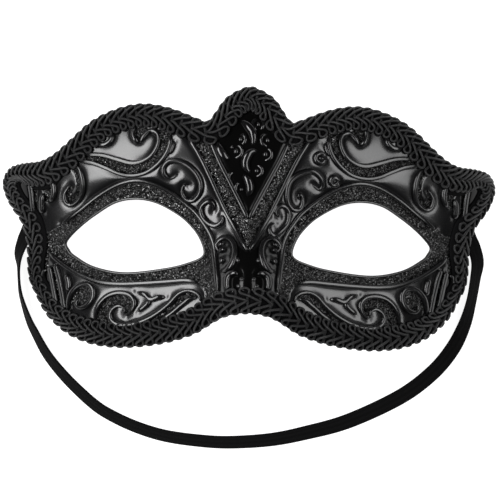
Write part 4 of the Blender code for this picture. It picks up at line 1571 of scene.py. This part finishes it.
@dataclass
class ElasticStrap:
    """The flat elastic, from one tab over the surface to the other tab."""

    form: FaceForm
    width: float = 0.006
    thickness: float = 0.001
    length: float = 0.313
    step: float = 0.0009
    path_step: float = 0.004
    wall: float = 0.0015
    seat_gap: float = 0.00035
    tab_length: float = 0.010
    tab_thickness: float = 0.001
    tab_across: float = 0.0838
    tab_up: float = 0.0053
    tab_turn: float = math.radians(25)
    tab_gap: float = 0.0007
    rib_pitch: float = 0.0006
    pick_pitch: float = 0.0005
    corner_power: float = 0.35
    sides: int = 20
    held_shares: tuple[float, ...] = (-0.35, 0.0, 0.35)

    def tab_frame(self, side: int) -> tuple[Array, Array, Array, Array]:
        """Where a tab is and how it is turned.

        Args:
            side: 1 for the right tab and -1 for the left one.

        Returns:
            Its middle, and the ways along the strap, across it, and out of the skin there.
        """
        x, y = np.array([side * self.tab_across]), np.array([self.tab_up])
        outward = self.form.normals(x, y)[0]
        downhill = unit(np.array([outward[2] * side, 0, -abs(outward[0])]))
        down_face = np.cross(outward, downhill) * -side
        down_face = down_face * np.sign(-down_face[1])
        along = math.sin(self.tab_turn) * downhill + math.cos(self.tab_turn) * down_face
        across = np.cross(outward, along)
        depth = self.wall + self.tab_gap + self.tab_thickness / 2
        skin = np.array([x[0], self.tab_up, self.form.height(x, y)[0] + self.form.rest_height])
        return skin - outward * depth, along, across, outward

    def stations(self) -> tuple[Array, Array]:
        """The strap's middle line and the way its width points, tab to tab.

        The edge stays on the surface: the middle is half the width times the twist's sine up, plus half the
        thickness times its cosine.
        """
        places, widths = [], []
        for side in (-1, 1):
            middle, along, across, outward = self.tab_frame(side)
            seat = middle - outward * (self.tab_thickness / 2 + self.seat_gap + self.thickness / 2)
            held = [seat + along * share * self.tab_length for share in self.held_shares]
            places.append(held)
            widths.append([across * np.sign(across[2])] * len(held))
        route = np.array(STRAP_ROUTE)
        flat, twist = route[:, :2], np.radians(route[:, 2])
        heading = unit(np.gradient(flat, axis=0))
        inward = np.column_stack([-heading[:, 1], heading[:, 0]])
        lying_width = np.column_stack([inward * np.cos(twist)[:, None], np.sin(twist)])
        lift = self.width / 2 * np.sin(twist) + self.thickness / 2 * np.cos(twist)
        lying = np.column_stack([flat, lift])
        middle_line = np.vstack([places[0], lying, places[1][::-1]])
        width_line = np.vstack([widths[0], lying_width, widths[1][::-1]])
        return middle_line, width_line

    def build(self, finish: bpy.types.Material) -> bpy.types.Object:
        """Make the strap: a flat oval with squared sides carried along its line.

        Args:
            finish: the elastic.

        Returns:
            The strap.
        """
        middle_line, width_line = self.stations()
        dense = even_path(np.hstack([smooth_path(middle_line), smooth_path(width_line)]), self.step)
        middle = dense[:, :3]
        heading = unit(np.gradient(middle, axis=0))
        width = unit(dense[:, 3:] - heading * (dense[:, 3:] * heading).sum(axis=1, keepdims=True))
        face = np.cross(heading, width)
        across, rise = squared_circle(self.sides, self.corner_power)
        across, rise = across * self.width / 2, rise * self.thickness / 2
        rings = middle[:, None] + width[:, None] * across[:, None] + face[:, None] * rise[:, None]
        first, last = (middle[end, None].repeat(self.sides, 1) for end in (slice(0, 1), slice(-1, None)))
        rings = np.concatenate([first, above_surface(rings), last])
        batch = TubeBatch()
        batch.add(rings, closed=False, pattern_step=self.pick_pitch)
        ribs = round(2 * self.width / self.rib_pitch)
        batch.cloth[0][:, 1] *= ribs
        strap = finish_piece(batch.build("elastic_strap"), finish)
        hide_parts("strap")
        LOG.info("strap length %.4f m", np.linalg.norm(np.diff(middle, axis=0), axis=1).sum())
        return strap


@dataclass(frozen=True)
class Softbox:
    """One soft rectangular light: its name, place, size along x and y, and power in watts."""

    name: str
    place: tuple[float, float, float]
    size: tuple[float, float]
    power: float


@dataclass
class Studio:
    """The pale surface, the soft lights and the camera straight above."""

    softboxes: tuple[Softbox, ...] = (
        Softbox("left_softbox", (-0.92, 0.10, 1.17), (1.8, 0.47), 35.0),
        Softbox("right_softbox", (0.88, 0.05, 1.20), (1.8, 0.52), 19.0),
    )
    floor_size: float = 14.0
    floor_colour: Colour = (0.40, 0.40, 0.40, 1.0)
    floor_shade: float = 0.985
    white: Colour = (1.0, 1.0, 1.0, 1.0)
    camera_height: float = 3.0
    camera_reach: float = 50.0
    view_width: float = 0.1920
    view_level: float = 0.022
    view_x: float = 0.00071
    view_y: float = -0.01238
    roll: float = 0.0140
    world_strength: float = 0.03
    floor_glow: float = 0.94

    def build_floor(self) -> bpy.types.Object:
        """Make the surface that the mask lies on."""
        half = self.floor_size / 2
        corners = np.array([(-half, -half, 0), (half, -half, 0), (half, half, 0), (-half, half, 0)])
        floor = write_mesh("pale_surface", corners, np.array([[0, 1, 2, 3]]))
        board = NodeBoard("pale board")
        board.set(roughness=0.9, specular_ior_level=0.1, emission_strength=self.floor_glow)
        board.set(emission_color=self.white)
        tone = board.add("TexNoise", scale=6.0, detail=1.0)
        board.join(board.object_place(), tone.inputs["Vector"])
        shade = tuple(self.floor_shade * part for part in self.floor_colour[:3])
        colour = board.blend("RGBA", tone.outputs["Fac"], (*shade, 1.0), self.floor_colour)
        board.join(colour, board.shader.inputs["Base Color"])
        floor.data.materials.append(board.material)
        return floor

    def build_light(self, box: Softbox) -> None:
        """Add a soft rectangular light that faces the mask and isn't seen itself."""
        data = bpy.data.lights.new(box.name, "AREA")
        data.shape = "RECTANGLE"
        data.size, data.size_y = box.size
        data.energy = box.power
        light = bpy.data.objects.new(box.name, data)
        light.location = box.place
        turn = Vector(box.place).to_track_quat("Z", "Y")
        light.rotation_euler = turn.to_euler()
        light.visible_camera = False
        bpy.context.scene.collection.objects.link(light)

    def build_camera(self) -> None:
        """Add the camera: a long lens whose width at the view level is the photograph's."""
        data = bpy.data.cameras.new("front_camera")
        data.sensor_fit = "HORIZONTAL"
        away = self.camera_height - self.view_level
        data.lens = data.sensor_width * away / self.view_width
        data.clip_end = self.camera_reach
        camera = bpy.data.objects.new("front_camera", data)
        camera.location = (self.view_x, self.view_y, self.camera_height)
        camera.rotation_euler = (0.0, 0.0, self.roll)
        bpy.context.scene.collection.objects.link(camera)
        bpy.context.scene.camera = camera

    def build_world(self) -> None:
        """Set the even pale surroundings."""
        world = bpy.data.worlds.new("soft_room")
        world.use_nodes = True
        ground = world.node_tree.nodes["Background"]
        ground.inputs["Color"].default_value = self.white
        ground.inputs["Strength"].default_value = self.world_strength
        bpy.context.scene.world = world

    def build(self) -> None:
        """Make the whole studio."""
        self.build_floor()
        self.build_world()
        self.build_camera()
        for box in self.softboxes:
            self.build_light(box)
        bpy.context.scene.view_settings.view_transform = "Standard"


def clear_scene() -> None:
    """Remove every object that the file starts with."""
    for item in list(bpy.data.objects):
        bpy.data.objects.remove(item, do_unlink=True)


def main() -> None:
    """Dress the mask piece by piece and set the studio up."""
    logging.basicConfig(level=logging.INFO, format="%(name)s: %(message)s")
    clear_scene()
    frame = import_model()
    plastic, cord = GlossPlastic().build(), GimpCord().build()
    drawing, form = Drawing(), FaceForm()
    form.set_down(frame["nodes"]["mask_shell"])
    LOG.info("rest height %.5f m", form.rest_height)
    band = EdgeBand(drawing, form)
    LOG.info("edge length %.4f m", band.length())
    relief = ReliefWork(drawing, form, band)
    shell = MaskShell(drawing, form, band)
    deep = DEEP_AND_SHADE_PLASTIC.build()
    shell.build([path for family, path, _ in relief.paths() if family is not Family.CREST], plastic, deep)
    shell.build_lips(plastic)
    polished = POLISHED_PLASTIC.build()
    relief.build(plastic, polished)
    relief.build_studs(polished)
    GimpBraid(band).build(cord, BED_CLOTH_AND_SHADE.build())
    ElasticStrap(form).build(WovenElastic().build())
    felt = Felt().build()
    for name in ("strap_tab_left", "strap_tab_right"):
        tab = frame["nodes"][name]
        tab.data.materials.clear()
        tab.data.materials.append(felt)
    Studio().build()


if __name__ == "__main__":
    main()
